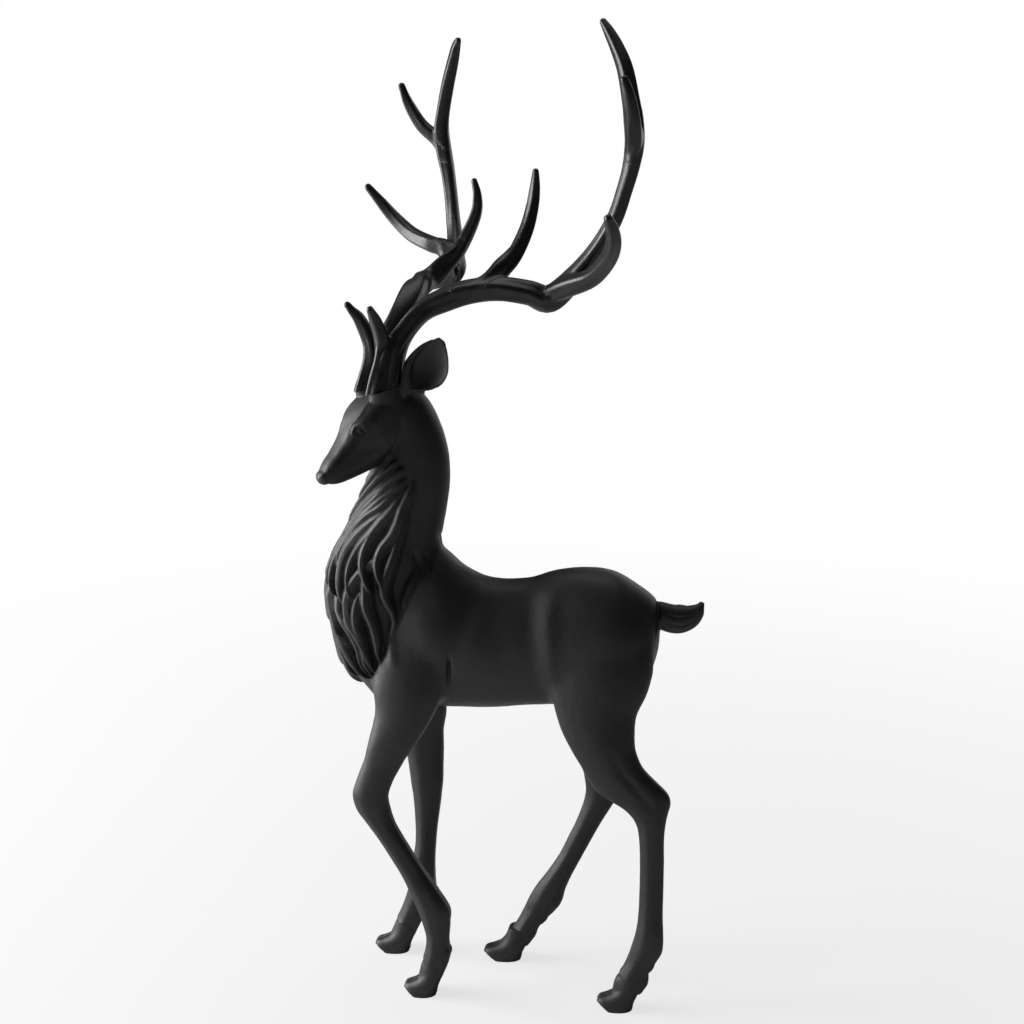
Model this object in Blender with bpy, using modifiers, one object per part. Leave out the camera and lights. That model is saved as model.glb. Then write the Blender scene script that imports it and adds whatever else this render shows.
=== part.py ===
"""A standing stag cast in black resin: one casting for the animal and one for each antler.

Metres, Z up, the four soles on Z = 0. The stag walks toward -X and its left side faces -Y.
Its pose and carving are written in thousandths of its height, measured from the middle of
the back, and the whole figure is then moved so that its bounding box is centred on the axes.
"""

import math

import bmesh
import bpy
import numpy as np
from mathutils import Vector

# Driving sizes, in metres.
HEIGHT = 0.600  # ground to the antler tips
SEAM_GAP = 0.0003  # between an antler and the crown it stands on
BODY_VOXEL = 0.0010
ANTLER_VOXEL = 0.0008
CORE_VOXEL = 0.0015  # for the trunk and the thighs, which are blended first
CORE_SMOOTHING, SKIN_SMOOTHING = 44, 3
BODY_FACES = 7150
ANTLER_FACES = 1120

UNIT = HEIGHT / 1000
# The figure's own zero, seen from the middle of its bounding box and from its soles.
SHIFT = Vector((3.4, -69, 1.5)) * UNIT

# How the head and the antlers are turned.
HEAD_YAW = math.radians(42)  # from straight ahead toward the left side
HEAD_PITCH = math.radians(41)  # nose below level
POLL = Vector((-121, 0, 640))  # where the line of the head starts
CROWN = Vector((-136, -16, 0))  # middle between the two antlers, on plan
SEAM_LIFT = 10  # the seam above the poll
SEAM_TILT = math.radians(18)  # the crown falls away toward the forehead

AHEAD = Vector((-math.cos(HEAD_YAW), -math.sin(HEAD_YAW), 0))
LEFT = Vector((math.sin(HEAD_YAW), -math.cos(HEAD_YAW), 0))
UP = Vector((0, 0, 1))
NOSEWARD = math.cos(HEAD_PITCH) * AHEAD - math.sin(HEAD_PITCH) * UP
BROWWARD = math.sin(HEAD_PITCH) * AHEAD + math.cos(HEAD_PITCH) * UP
SEAM_NORMAL = math.sin(SEAM_TILT) * AHEAD + math.cos(SEAM_TILT) * UP
SEAM_POINT = CROWN + (POLL.z + SEAM_LIFT) * UP
SEAM_BACK = math.sin(SEAM_TILT) * UP - math.cos(SEAM_TILT) * AHEAD
FOOT_OUT, FOOT_BACK = 13.8, 0.5  # middle of an antler's foot from the middle of the seam
# The room kept free round that foot: half width and half length on the seam and at its top.
SEAT_FOOT, SEAT_TOP = (14.4, 21.5), (15.2, 25)
SEAT_LEAN = (14.2, 9, 44)  # middle of its top: out, back and above the seam
STUMP_DEPTH = 26  # how far the stump under an antler reaches into the skull

# Trunk: along x, half width, top, bottom.
TRUNK = (
    (-150, 22, 436, 330),
    (-130, 37, 462, 316),
    (-100, 47, 482, 310),
    (-74, 49.5, 483, 310.5),
    (-52, 48.5, 464, 311),
    (-20, 47, 451.5, 312),
    (12, 45.5, 453, 316),
    (46, 47.5, 463, 319),
    (76, 50.5, 466.5, 322),
    (104, 50.5, 463.5, 328),
    (126, 45, 451, 336),
    (139, 36, 443, 348),
    (147, 25, 436, 368),
    (151.5, 12, 427, 386),
)

# Neck with the bulk of the mane: height, middle x and y, half length, half width.
NECK = (
    (314, -130, 0, 14, 18),
    (332, -133, 0, 25, 27),
    (350, -136.5, 0, 37, 35),
    (378, -140.5, 0, 43, 40),
    (408, -141.5, 0, 48.5, 43),
    (436, -139.5, 0, 54, 44),
    (465, -131.5, 0, 56, 41.5),
    (495, -122.7, 0, 50.2, 37),
    (525, -112.5, -1, 45.7, 34),
    (552, -104.8, -2, 41, 31.5),
    (578, -99.3, -3, 34.8, 28.5),
    (603, -98, -4, 28, 26.5),
    (622, -102.5, -4, 24.8, 25.5),
    (636, -107.5, -4, 22.2, 22.5),
    (648, -111.5, -3, 13.5, 14.5),
)

# Head: along its own line from the poll, lift of the middle, half depth, half width.
HEAD = (
    (-12, -4, 19, 23),
    (2, -3, 26, 28),
    (20, -5, 32.2, 28.5),
    (38, -7.5, 33.5, 27),
    (55, -10, 30, 22.5),
    (73, -9.8, 23.4, 17.5),
    (90, -8, 17.6, 14.5),
    (100, -6.2, 14.4, 12.8),
    (107, -4, 11.3, 11),
    (112, -1.4, 7.4, 8.4),
)

THIGH_END, SHIN_TOP = 250, 290  # the thigh's skin and the shin's skin overlap between these heights

# Legs: height, middle x, distance of the middle from the centre plane, half length, half width.
LEG_LEFT_FRONT = (
    (430, -84, 16, 20, 12),
    (400, -92, 26.5, 34, 17.5),
    (370, -99, 31.5, 40, 20),
    (340, -104, 36, 38.5, 19.5),
    (318, -107, 38.5, 33, 17.5),
    (300, -113, 40, 30, 16),
    (276, -123.5, 42, 26, 14),
    (255, -133, 42, 22.2, 12.5),
    (238, -140.5, 42, 19.5, 12.5),
    (222, -145, 42, 19.2, 12.5),
    (206, -142, 42, 18.5, 11.5),
    (190, -133.8, 42, 15.8, 10),
    (165, -118.3, 42, 13.9, 9.5),
    (140, -102.8, 42, 14.4, 10),
    (118, -89.2, 43, 16.4, 11.5),
    (98, -79.2, 43, 18.3, 12.5),
    (82, -76.6, 43, 15.6, 11.8),
    (62, -75, 43, 12.4, 11.2),
    (44, -75.6, 43, 14.2, 12.2),
    (30, -79.5, 43, 14.3, 12),
    (18, -84, 43, 12.7, 11),
)
LEG_RIGHT_FRONT = (
    (430, -84, 16, 20, 12),
    (400, -92, 26.5, 34, 17.5),
    (370, -99, 31.5, 40, 20),
    (340, -103, 36, 35, 19.5),
    (310, -104.6, 39, 28, 17),
    (285, -104.5, 41, 26.5, 15),
    (258, -104.3, 42, 23.3, 13),
    (222, -102.3, 42, 19.3, 12),
    (204, -101.6, 42, 18.1, 12),
    (186, -101.5, 42, 16, 11),
    (160, -102.3, 42, 13.3, 9.5),
    (132, -104, 42, 12, 9.5),
    (110, -106.2, 42, 12.8, 10.5),
    (90, -107.8, 43, 14.3, 12),
    (73, -109.4, 43, 16.2, 12.2),
    (58, -114.4, 43, 15.7, 11.5),
    (42, -121.5, 43, 15, 11.8),
    (28, -127.5, 43, 14.5, 12),
    (18, -132.5, 43, 14, 11),
)
LEG_LEFT_REAR = (
    (425, 99, 19, 34, 17),
    (400, 99, 24.5, 46, 22),
    (372, 96.5, 28.5, 51.5, 24),
    (345, 93, 32.5, 49.5, 23),
    (322, 90, 36, 42, 20.5),
    (304, 92.5, 39, 38.5, 18.5),
    (286, 98, 41, 35, 16.5),
    (268, 107.5, 42, 34, 15),
    (254, 118.3, 42, 36, 14),
    (242, 128.7, 42, 37.2, 13),
    (232, 137.2, 42, 31.4, 12.5),
    (222, 144.2, 42, 22.4, 12.5),
    (208, 148.5, 42, 15.6, 12),
    (190, 149.8, 42, 13.1, 10.5),
    (160, 150.8, 42, 12.7, 9.5),
    (130, 150.8, 42, 12.4, 9.5),
    (105, 150.5, 42, 13.2, 10.7),
    (86, 149.8, 43, 14.9, 12),
    (68, 147.3, 43, 17, 12.5),
    (56, 142.5, 43, 16, 11.5),
    (43, 136, 43, 14.9, 11.8),
    (30, 132.3, 43, 18, 12.5),
    (18, 127.5, 43, 15.9, 11.5),
)
LEG_RIGHT_REAR = (
    (425, 99, 19, 34, 17),
    (400, 99.5, 24.5, 47, 22),
    (372, 94, 28.5, 50, 24),
    (340, 83, 33.5, 40.5, 22.5),
    (312, 76.5, 37, 33.5, 19),
    (288, 76.5, 40, 28.5, 16.5),
    (266, 80.5, 42, 26.4, 15),
    (246, 89.4, 42, 25.9, 13.5),
    (230, 95.9, 42, 25.9, 12.5),
    (216, 95.4, 42, 22.4, 12.5),
    (203, 91.9, 42, 18.4, 12),
    (188, 86.4, 42, 16, 11.5),
    (166, 76.4, 42, 13.7, 10),
    (146, 66.9, 42, 13.2, 9.5),
    (126, 57.4, 42, 13, 9.5),
    (106, 46.4, 42, 14.2, 10.5),
    (88, 36.9, 43, 16.9, 12),
    (72, 30.4, 43, 19, 12.5),
    (60, 24.1, 43, 17.6, 11.5),
    (48, 15.3, 43, 14.6, 11.5),
    (38, 9.2, 43, 14.3, 12),
    (28, 4, 43, 16, 12.5),
    (16, -5, 43, 16.7, 11.5),
)

LEGS = (
    (LEG_LEFT_FRONT, -1),
    (LEG_RIGHT_FRONT, 1),
    (LEG_LEFT_REAR, -1),
    (LEG_RIGHT_REAR, 1),
)

# One toe of a hoof: height, distance behind the tip of the sole, half length, half width.
TOE = (
    (36, 35, 11.5, 6),
    (26, 33, 12, 7),
    (16, 28.7, 12.3, 7.6),
    (7, 23.2, 14.2, 8),
    (-2, 18.5, 17, 8.2),
    (-10, 16.3, 18, 8.2),
)
TOE_SPREAD = 6  # middle of a toe from the middle of the hoof
# The sole turns up from this far behind its tip, to this height at the tip.
TOE_TURN, TOE_RISE = 24, 6
TOE_TIPS = (  # x of the tip, side of the body, length against TOE
    (-111, -43, 0.96),
    (-162.5, 43, 1.06),
    (97, -43, 1.02),
    (-37.5, 43, 1.13),
)

# Tail: x, height, half width, half depth.
TAIL = (
    (132, 419, 14, 18),
    (148, 419.5, 11.5, 14),
    (164, 415.5, 11, 15),
    (174, 416.5, 11, 14.7),
    (183, 420, 9.5, 12),
    (189.5, 426, 7, 8),
    (192.5, 431, 4, 4),
)

# Ear: along it from the root, half width, depth of the cup, thickness of the leather.
EAR = (
    (-8, 7.5, 3, 8),
    (4, 9.5, 6, 7),
    (15, 17.3, 9, 6),
    (28, 21.8, 10, 5.5),
    (42, 20, 8, 5),
    (54, 12.8, 5, 4.5),
    (63, 4.5, 1.5, 3.5),
)
# Its stalk, which runs up into the front rim: along the ear, share of the way out from the middle
# to that rim, radius.
EAR_RIM = ((-9, 0, 7.5), (5, 0.55, 6), (18, 0.88, 4.4), (32, 0.97, 3.2), (46, 1, 2.6), (58, 1, 2))

# Locks of the mane, root to point: angle round the neck from the front, height; then half width.
# The left and the right side carry the same locks.
LOCKS = (
    ((8, 582), (5, 560), (4, 538), (6, 512), 6),
    ((31, 584), (24, 562), (16, 540), (13, 512), 6.5),
    ((54, 584), (45, 565), (34, 545), (26, 516), 7),
    ((74, 580), (67, 562), (57, 543), (46, 518), 7),
    ((92, 572), (87, 552), (78, 530), (70, 506), 7),
    ((9, 542), (4, 515), (3, 490), (10, 460), 8.5),
    ((36, 548), (22, 523), (14, 494), (20, 458), 9),
    ((60, 547), (41, 525), (29, 497), (34, 460), 9.5),
    ((77, 540), (60, 514), (46, 485), (57, 442), 9.5),
    ((91, 535), (78, 508), (69, 484), (75, 455), 9),
    ((99, 544), (95, 513), (87, 485), (94, 456), 8),
    ((7, 490), (3, 460), (5, 430), (14, 398), 9),
    ((27, 492), (16, 462), (15, 430), (27, 396), 9.5),
    ((45, 488), (32, 458), (30, 428), (43, 392), 10),
    ((64, 482), (49, 454), (48, 424), (63, 388), 10),
    ((86, 482), (69, 454), (65, 420), (84, 376), 9.5),
    ((98, 484), (84, 456), (86, 430), (100, 386), 9),
    ((104, 502), (100, 472), (103, 448), (120, 410), 8.5),
    ((136, 486), (134, 464), (129, 446), (125, 428), 6),
    ((6, 430), (4, 402), (6, 374), (14, 346), 8.5),
    ((25, 428), (17, 400), (18, 372), (30, 344), 9),
    ((43, 424), (34, 398), (36, 370), (50, 344), 9),
    ((61, 420), (52, 394), (56, 370), (72, 348), 8.5),
    ((78, 414), (71, 392), (77, 372), (89, 354), 7.5),
)
LOCK_HEIGHT = 6.5  # how far a lock stands out of the bulk
LOCK_WIDTHS = ((0, 0.4), (0.15, 0.78), (0.42, 1), (0.72, 0.82), (0.9, 0.42), (1, 0.1))
LOCK_RISES = ((0, -0.35), (0.2, 0.35), (0.5, 0.85), (0.82, 1), (0.93, 0.75), (1, 0.2))

# Antlers: distance out from the centre plane of the head, distance back, height of the left and
# of the right antler above the seam, radius. The two were modelled by hand and differ a little.
BEAM = (
    (14, 0.5, -22, -22, 11.8),
    (13.8, 5.6, 2, 0, 12),
    (13.7, 13.6, 36, 32, 12.2),
    (15.2, 26.5, 56.5, 53, 10.8),
    (21.8, 42.5, 75, 71, 11.2),
    (33, 61, 86, 85.5, 12.3),
    (47, 81, 94, 95.5, 12),
    (65, 104, 97, 99.5, 11.5),
    (80, 130, 92.7, 99.5, 11.5),
    (91, 147.6, 87, 105, 12.6),
    (112, 162.5, 109, 119, 10.3),
    (131, 174.8, 136, 137, 8.2),
    (148, 183, 166, 159, 7.4),
    (158, 186.6, 193, 184, 7.2),
    (166, 187.8, 215, 209, 7.7),
    (172.3, 186.5, 237, 233, 9),
    (173, 184.2, 257, 255, 8.9),
    (169, 184, 274, 274, 8),
    (159, 184.3, 303, 303, 7.4),
    (146.6, 183.5, 324, 327, 6.4),
    (136.4, 181.5, 339, 342, 5),
    (129.5, 180, 348, 348, 3.4),
)
TINES = (
    (  # brow tine
        (13, -15, -22, -22, 7),
        (12.6, -10.5, -4, -4, 7.6),
        (12, -5.5, 10, 8, 8.2),
        (11.4, -0.5, 26, 22, 8),
        (11.2, 1, 40, 37, 7.6),
        (13.4, -1.6, 52, 50, 7.2),
        (16.8, -9, 67.5, 67, 6),
        (20.9, -14.6, 75, 75, 4.6),
        (23.4, -18.2, 79.5, 80.5, 3.6),
    ),
    (  # second tine
        (57, 90, 91, 92, 6),
        (57, 101, 101, 99, 9.4),
        (54.8, 114.7, 114, 112, 9),
        (55, 129.6, 129, 125, 8),
        (54, 144.2, 153, 147, 7),
        (52, 153, 176, 168, 6.1),
        (53.4, 155, 194, 185, 5),
        (57, 153.5, 210, 200, 3.2),
    ),
    (  # third tine, which curls outward
        (94, 150, 95, 113, 10.5),
        (115, 151.5, 99.5, 126.5, 10.4),
        (149, 155.6, 111, 130.3, 9),
        (181, 149.4, 129, 139.8, 8.1),
        (202.5, 139.6, 144.5, 157, 7.2),
        (216, 127.8, 159, 176.5, 6.1),
        (224, 117, 169, 192, 4.2),
    ),
    (  # fourth tine, the lesser arm of the top fork
        (171, 187, 228, 230, 8),
        (178, 182, 240, 244, 8.2),
        (191, 169, 257, 260.5, 7),
        (199, 157, 277, 284, 5.8),
        (201.5, 150, 291, 302.5, 4),
    ),
)


def start_clean():
    for old in list(bpy.data.objects):
        bpy.data.objects.remove(old, do_unlink=True)


def resin(name, grey, roughness):
    material = bpy.data.materials.new(name)
    material.use_nodes = True
    shader = material.node_tree.nodes["Principled BSDF"]
    shader.inputs["Base Color"].default_value = (grey, grey, grey * 1.05, 1)
    shader.inputs["Roughness"].default_value = roughness
    return material


def in_between(rows, steps):
    """A smooth curve through rows of numbers, with steps points to each span."""
    rows = np.array(rows, float)
    ends = np.vstack([2 * rows[0] - rows[1], rows, 2 * rows[-1] - rows[-2]])
    out = []
    for i in range(1, len(ends) - 2):
        p, q, r, s = ends[i - 1 : i + 3]
        for t in np.arange(steps) / steps:
            out.append(
                0.5
                * (
                    2 * q
                    + (r - p) * t
                    + (2 * p - 5 * q + 4 * r - s) * t**2
                    + (3 * q - p - 3 * r + s) * t**3
                )
            )
    out.append(rows[-1])
    return np.array(out)


class Shell:
    """Closed skins that overlap one another, gathered as one mesh."""

    def __init__(self):
        self.points = []
        self.faces = []

    def skin(self, rings):
        """Closes a run of equal rings into one skin with a point at each end."""
        count, start = len(rings[0]), len(self.points)
        for ring in rings:
            self.points.extend(ring)
        for i in range(len(rings) - 1):
            for k in range(count):
                a, b = start + i * count + k, start + i * count + (k + 1) % count
                self.faces.append((a, b, b + count, a + count))
        for ring, at, turn in ((rings[0], 0, -1), (rings[-1], len(rings) - 1, 1)):
            middle = len(self.points)
            self.points.append(np.mean(ring, axis=0))
            for k in range(count):
                a, b = start + at * count + k, start + at * count + (k + 1) % count
                self.faces.append((a, b, middle)[::turn])

    def swept(self, middles, halves, side, count=28, steps=5):
        """A skin of ellipses across a curved line, rounded off at both ends.

        Each half is (along side, across side).
        """
        table = in_between([(*m, *h) for m, h in zip(middles, halves)], steps)
        line = table[:, :3]
        run = np.gradient(line, axis=0)
        run /= np.linalg.norm(run, axis=1)[:, None]
        turn = np.linspace(0, 2 * math.pi, count, endpoint=False)
        rings = []
        for i, (row, along) in enumerate(zip(table, run)):
            given = side[i] if np.ndim(side) == 2 else np.array(side, float)
            one = given - along * (given @ along)
            one /= np.linalg.norm(one)
            two = np.cross(along, one)
            wave = np.outer(np.cos(turn), one * row[3]) + np.outer(np.sin(turn), two * row[4])
            rings.append((row[:3], along, wave, min(row[3], row[4])))
        rings = self.rounded(rings)
        self.skin(rings)

    def rounded(self, rings):
        """Adds a dome of smaller rings beyond each end."""
        done = [middle + wave for middle, _, wave, _ in rings]
        for back, (middle, along, wave, reach) in ((-1, rings[0]), (1, rings[-1])):
            cap = [
                middle + along * (back * reach * math.sin(a)) + wave * math.cos(a)
                for a in (0.5, 0.95, 1.3)
            ]
            done = cap[::-1] + done if back < 0 else done + cap
        return done

    def stacked(self, rows, count=32, steps=5):
        """A skin of level ellipses. Each row is (height, x, y, half length, half width)."""
        turn = np.linspace(0, 2 * math.pi, count, endpoint=False)
        rings = [
            np.column_stack([x + lx * np.cos(turn), y + ly * np.sin(turn), np.full(count, z)])
            for z, x, y, lx, ly in in_between(rows, steps)
        ]
        self.skin(rings if rows[0][0] < rows[-1][0] else rings[::-1])

    def sliced(self, rows, count=40, steps=5):
        """A skin of upright ellipses. Each row is (x, height, half width, half depth)."""
        turn = np.linspace(0, 2 * math.pi, count, endpoint=False)
        self.skin(
            [
                np.column_stack([np.full(count, x), wide * np.cos(turn), z + deep * np.sin(turn)])
                for x, z, wide, deep in in_between(rows, steps)
            ]
        )

    def absorb(self, skin):
        """Takes in a mesh that is already in metres."""
        start = len(self.points)
        self.points.extend((v.co - SHIFT) / UNIT for v in skin.vertices)
        self.faces.extend(tuple(start + k for k in face.vertices) for face in skin.polygons)

    def mesh(self, name):
        made = bpy.data.meshes.new(name)
        points = np.array(self.points, float) * UNIT + np.array(SHIFT)
        made.from_pydata(points.tolist(), [], self.faces)
        return made


def placed(point):
    """From thousandths of the height to metres in the part's own frame."""
    return Vector(point) * UNIT + SHIFT


def trunk(shell):
    shell.sliced([(x, (top + low) / 2, wide, (top - low) / 2) for x, wide, top, low in TRUNK])


def thigh(shell, rows, side):
    """The upper part of a leg, which is blended into the trunk."""
    shell.stacked([(z, x, side * y, lx, ly) for z, x, y, lx, ly in rows if z > THIGH_END])


def shin(shell, rows, side):
    """The leg from the elbow or the stifle down, drawn in where it starts inside the thigh."""
    below = [(z, x, side * y, lx, ly) for z, x, y, lx, ly in rows if z < SHIN_TOP]
    for row, share in ((0, 0.86), (1, 0.96)):
        z, x, y, lx, ly = below[row]
        below[row] = (z, x, y, lx * share, ly * share)
    shell.stacked(below)


def hoof(shell, tip, side, length):
    """Two toes, each with its sole turned up toward the tip."""
    top, low = TOE[0][0], TOE[-1][0]
    for spread in (-TOE_SPREAD, TOE_SPREAD):
        rows = [(z, tip + back * length, side + spread, lx * length, ly) for z, back, lx, ly in TOE]
        start = len(shell.points)
        shell.stacked(rows, count=20, steps=3)
        toe = np.array(shell.points[start:])
        ahead = np.clip((tip + TOE_TURN * length - toe[:, 0]) / (TOE_TURN * length), 0, 1)
        toe[:, 2] += (top - toe[:, 2]) / (top - low) * (TOE_RISE - low) * ahead
        shell.points[start:] = toe


def head(shell):
    middles = [POLL + NOSEWARD * s + BROWWARD * lift for s, lift, _, _ in HEAD]
    halves = [(wide, deep) for _, _, deep, wide in HEAD]
    shell.swept(middles, halves, LEFT, count=36)


def brow_and_eye(shell, side):
    """The ridge over the eye and the eyeball under it."""
    for s, out, lift, size in ((26, 19, 5, 8), (37, 19.5, 2, 5.5)):
        middle = POLL + NOSEWARD * s + LEFT * side * out + BROWWARD * lift
        line = [middle - NOSEWARD * size * 0.8, middle, middle + NOSEWARD * size * 0.8]
        shell.swept(line, [(size * share, size * share) for share in (0.5, 0.8, 0.4)], LEFT)


def ear(shell, side):
    """A leaf-shaped cup that opens forward and outward, on a stalk that becomes its front rim."""
    root = POLL + LEFT * side * 24 + AHEAD + UP * 9
    along = (LEFT * side * 0.45 - AHEAD * 0.4 + UP * 0.8).normalized()
    open_way = AHEAD * 0.75 + LEFT * side * 0.62 - UP * 0.1
    open_way = (open_way - along * open_way.dot(along)).normalized()
    across = along.cross(open_way)
    bow = LEFT * side * 0.3 - AHEAD * 0.5 - UP * 0.8  # the lower rim is the fuller one
    bow = (bow - along * bow.dot(along)).normalized() * 5.5

    def outside(s, wide, cup, angle):
        middle = root + along * s + bow * math.sin(math.pi * s / EAR[-1][0])
        return middle + across * wide * math.sin(angle) + open_way * cup * (0.45 - math.cos(angle))

    bend = np.linspace(-1.45, 1.45, 13)
    rings = []
    for s, wide, cup, thick in in_between(EAR, 4):
        outer = [outside(s, wide, cup, b) for b in bend]
        inner = [
            outside(s, wide - thick * 0.6, cup * 0.8, b) + open_way * thick * math.cos(b * 0.83)
            for b in bend[::-1]
        ]
        rings.append(np.array([tuple(p) for p in outer + inner]))
    shell.skin(rings)
    table = in_between(EAR, 4)
    middles = []
    for s, share, _ in EAR_RIM:
        wide, cup = (np.interp(s, table[:, 0], table[:, k]) for k in (1, 2))
        rim = outside(s, wide, cup, -side * bend[-1])
        middles.append((root + along * s).lerp(rim, share))
    shell.swept(middles, [(radius, radius) for *_, radius in EAR_RIM], open_way, count=16)


def tail(shell):
    middles = [(x, 0, z) for x, z, _, _ in TAIL]
    halves = [(wide, deep) for _, _, wide, deep in TAIL]
    shell.swept(middles, halves, (0, 1, 0))


def on_neck(angle, height):
    """The point of the neck's skin at this angle from the front, and the way out of it."""
    rows = in_between(NECK, 8)
    x, y, lx, ly = (np.interp(height, rows[:, 0], rows[:, k]) for k in (1, 2, 3, 4))
    a = math.radians(angle)
    out = np.array([-math.cos(a) / lx, -math.sin(a) / ly, 0.0])
    return np.array([x - lx * math.cos(a), y - ly * math.sin(a), height]), out / np.linalg.norm(out)


def lock(shell, path, half_width, side):
    """One lock: a keeled ribbon that rises out of the neck and ends in a standing point."""
    line = in_between(path, 7)
    spots = [on_neck(angle * side, height) for angle, height in line]
    share = np.linspace(0, 1, len(spots))
    wide = half_width * np.interp(share, *zip(*LOCK_WIDTHS))
    rise = LOCK_HEIGHT * np.interp(share, *zip(*LOCK_RISES))
    run = np.gradient(np.array([p for p, _ in spots]), axis=0)
    turn = np.linspace(0, 2 * math.pi, 16, endpoint=False)
    over = np.clip(np.sin(turn), 0, 1)
    keel = 0.5 * over + 0.5 * (1 - np.abs(np.cos(turn))) * (over > 0)
    rings = []
    for (point, out), step, half, top in zip(spots, run, wide, rise):
        sideways = np.cross(step, out)
        sideways *= -side / np.linalg.norm(sideways)
        lift = keel * (top + 4) - 4 * (over == 0) * np.abs(np.sin(turn)) - 3
        lift -= 0.16 * half * np.cos(turn)
        rings.append(
            point + np.outer(np.cos(turn), sideways * half) + np.outer(lift, out)
        )
    shell.skin(rings if side > 0 else [ring[::-1] for ring in rings])


def mane(shell):
    for *path, half_width in LOCKS:
        for side in (1, -1):
            lock(shell, path, half_width, side)


def on_antler(out, back, height, side):
    return SEAM_POINT + LEFT * side * out - AHEAD * back + UP * height


def antler_shell(side):
    shell = Shell()
    for branch in (BEAM, *TINES):
        middles = [
            on_antler(out, back, left if side > 0 else right, side)
            for out, back, left, right, _ in branch
        ]
        halves = [(radius, radius) for *_, radius in branch]
        shell.swept(middles, halves, (0.3, 0.9, 0.2), count=18)
    return shell


def applied(thing):
    """Keeps what the modifiers make, and clears them."""
    graph = bpy.context.evaluated_depsgraph_get()
    made = bpy.data.meshes.new_from_object(thing.evaluated_get(graph))
    thing.modifiers.clear()
    thing.data = made


def one_skin(name, shell, voxel, smoothing):
    """An object with one skin made from the overlapping ones, and smoothed."""
    thing = bpy.data.objects.new(name, shell.mesh(name))
    bpy.context.scene.collection.objects.link(thing)
    remesh = thing.modifiers.new("one skin", "REMESH")
    remesh.mode = "VOXEL"
    remesh.voxel_size = voxel
    smooth = thing.modifiers.new("smooth", "SMOOTH")
    smooth.factor, smooth.iterations = 0.5, smoothing
    applied(thing)
    return thing


def fused(name, shell, voxel, smoothing, faces):
    """One skin, thinned to about this many triangles."""
    thing = one_skin(name, shell, voxel, smoothing)
    triangles = sum(len(face.vertices) - 2 for face in thing.data.polygons)
    thin = thing.modifiers.new("thin", "DECIMATE")
    thin.ratio = faces / triangles
    applied(thing)
    return thing


def cut_flat(thing, point, normal):
    """Takes off what lies behind a plane and closes the cut with one flat face."""
    form = bmesh.new()
    form.from_mesh(thing.data)
    everything = form.verts[:] + form.edges[:] + form.faces[:]
    bmesh.ops.bisect_plane(
        form, geom=everything, plane_co=point, plane_no=normal, clear_inner=True, dist=1e-6
    )
    rim = [edge for edge in form.edges if edge.is_boundary]
    bmesh.ops.holes_fill(form, edges=rim, sides=0)
    bmesh.ops.recalc_face_normals(form, faces=form.faces[:])
    form.to_mesh(thing.data)
    form.free()


def foot_of(side):
    return SEAM_POINT + LEFT * side * FOOT_OUT + SEAM_BACK * FOOT_BACK


def seat_of(side):
    """The room kept free for the foot of an antler: it stands on the seam and leans back."""
    foot, top = foot_of(side), on_antler(*SEAT_LEAN, side)
    turn = np.linspace(0, 2 * math.pi, 40, endpoint=False)
    one, two = np.array(LEFT), np.array(SEAM_BACK)
    plug = Shell()
    plug.skin(
        [
            np.array(p) + np.outer(np.cos(turn), one * wide) + np.outer(np.sin(turn), two * long)
            for p, (wide, long) in ((foot, SEAT_FOOT), (top, SEAT_TOP))
        ]
    )
    return plug


def seat_antlers(body):
    """Cuts the crown level under each antler."""
    for side in (1, -1):
        tool = bpy.data.objects.new("seat", seat_of(side).mesh("seat"))
        bpy.context.scene.collection.objects.link(tool)
        form = bmesh.new()
        form.from_mesh(tool.data)
        bmesh.ops.recalc_face_normals(form, faces=form.faces[:])
        form.to_mesh(tool.data)
        form.free()
        cut = body.modifiers.new("seat", "BOOLEAN")
        cut.operation, cut.solver, cut.object = "DIFFERENCE", "EXACT", tool
        applied(body)
        bpy.data.objects.remove(tool, do_unlink=True)


def crown_stub(shell, side):
    """The short stump of the skull that the antler stands on."""
    foot = foot_of(side)
    middles = [foot - SEAM_NORMAL * STUMP_DEPTH * share for share in (1, 0.4, -0.12)]
    shell.swept(middles, [(11.5, 15), (12.6, 17.2), (12.6, 17.2)], LEFT)


def core():
    """Trunk, neck and thighs, blended well into one another."""
    shell = Shell()
    trunk(shell)
    shell.stacked(NECK, count=40)
    for rows, side in LEGS:
        thigh(shell, rows, side)
    blended = one_skin("core", shell, CORE_VOXEL, CORE_SMOOTHING)
    skin = blended.data
    bpy.data.objects.remove(blended, do_unlink=True)
    return skin


def make_body(material):
    shell = Shell()
    shell.absorb(core())
    for rows, side in LEGS:
        shin(shell, rows, side)
    for tip, side, length in TOE_TIPS:
        hoof(shell, tip, side, length)
    head(shell)
    tail(shell)
    for side in (1, -1):
        brow_and_eye(shell, side)
        ear(shell, side)
        crown_stub(shell, side)
    mane(shell)
    body = fused("body", shell, BODY_VOXEL, SKIN_SMOOTHING, BODY_FACES)
    cut_flat(body, (0, 0, 0), (0, 0, 1))
    seat_antlers(body)
    body.data.materials.clear()
    body.data.materials.append(material)
    return body


def make_antler(name, side, material):
    antler = fused(name, antler_shell(side), ANTLER_VOXEL, SKIN_SMOOTHING, ANTLER_FACES)
    cut_flat(antler, placed(SEAM_POINT) + SEAM_NORMAL * SEAM_GAP, SEAM_NORMAL)
    antler.data.materials.clear()
    antler.data.materials.append(material)
    return antler


start_clean()
make_body(resin("resin_matte_black", 0.022, 0.55))
satin = resin("resin_satin_black", 0.018, 0.38)
make_antler("antler_left", 1, satin)
make_antler("antler_right", -1, satin)
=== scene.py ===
import math

import bmesh
import bpy
import numpy as np
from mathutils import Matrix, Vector, noise
from mathutils.kdtree import KDTree


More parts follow.
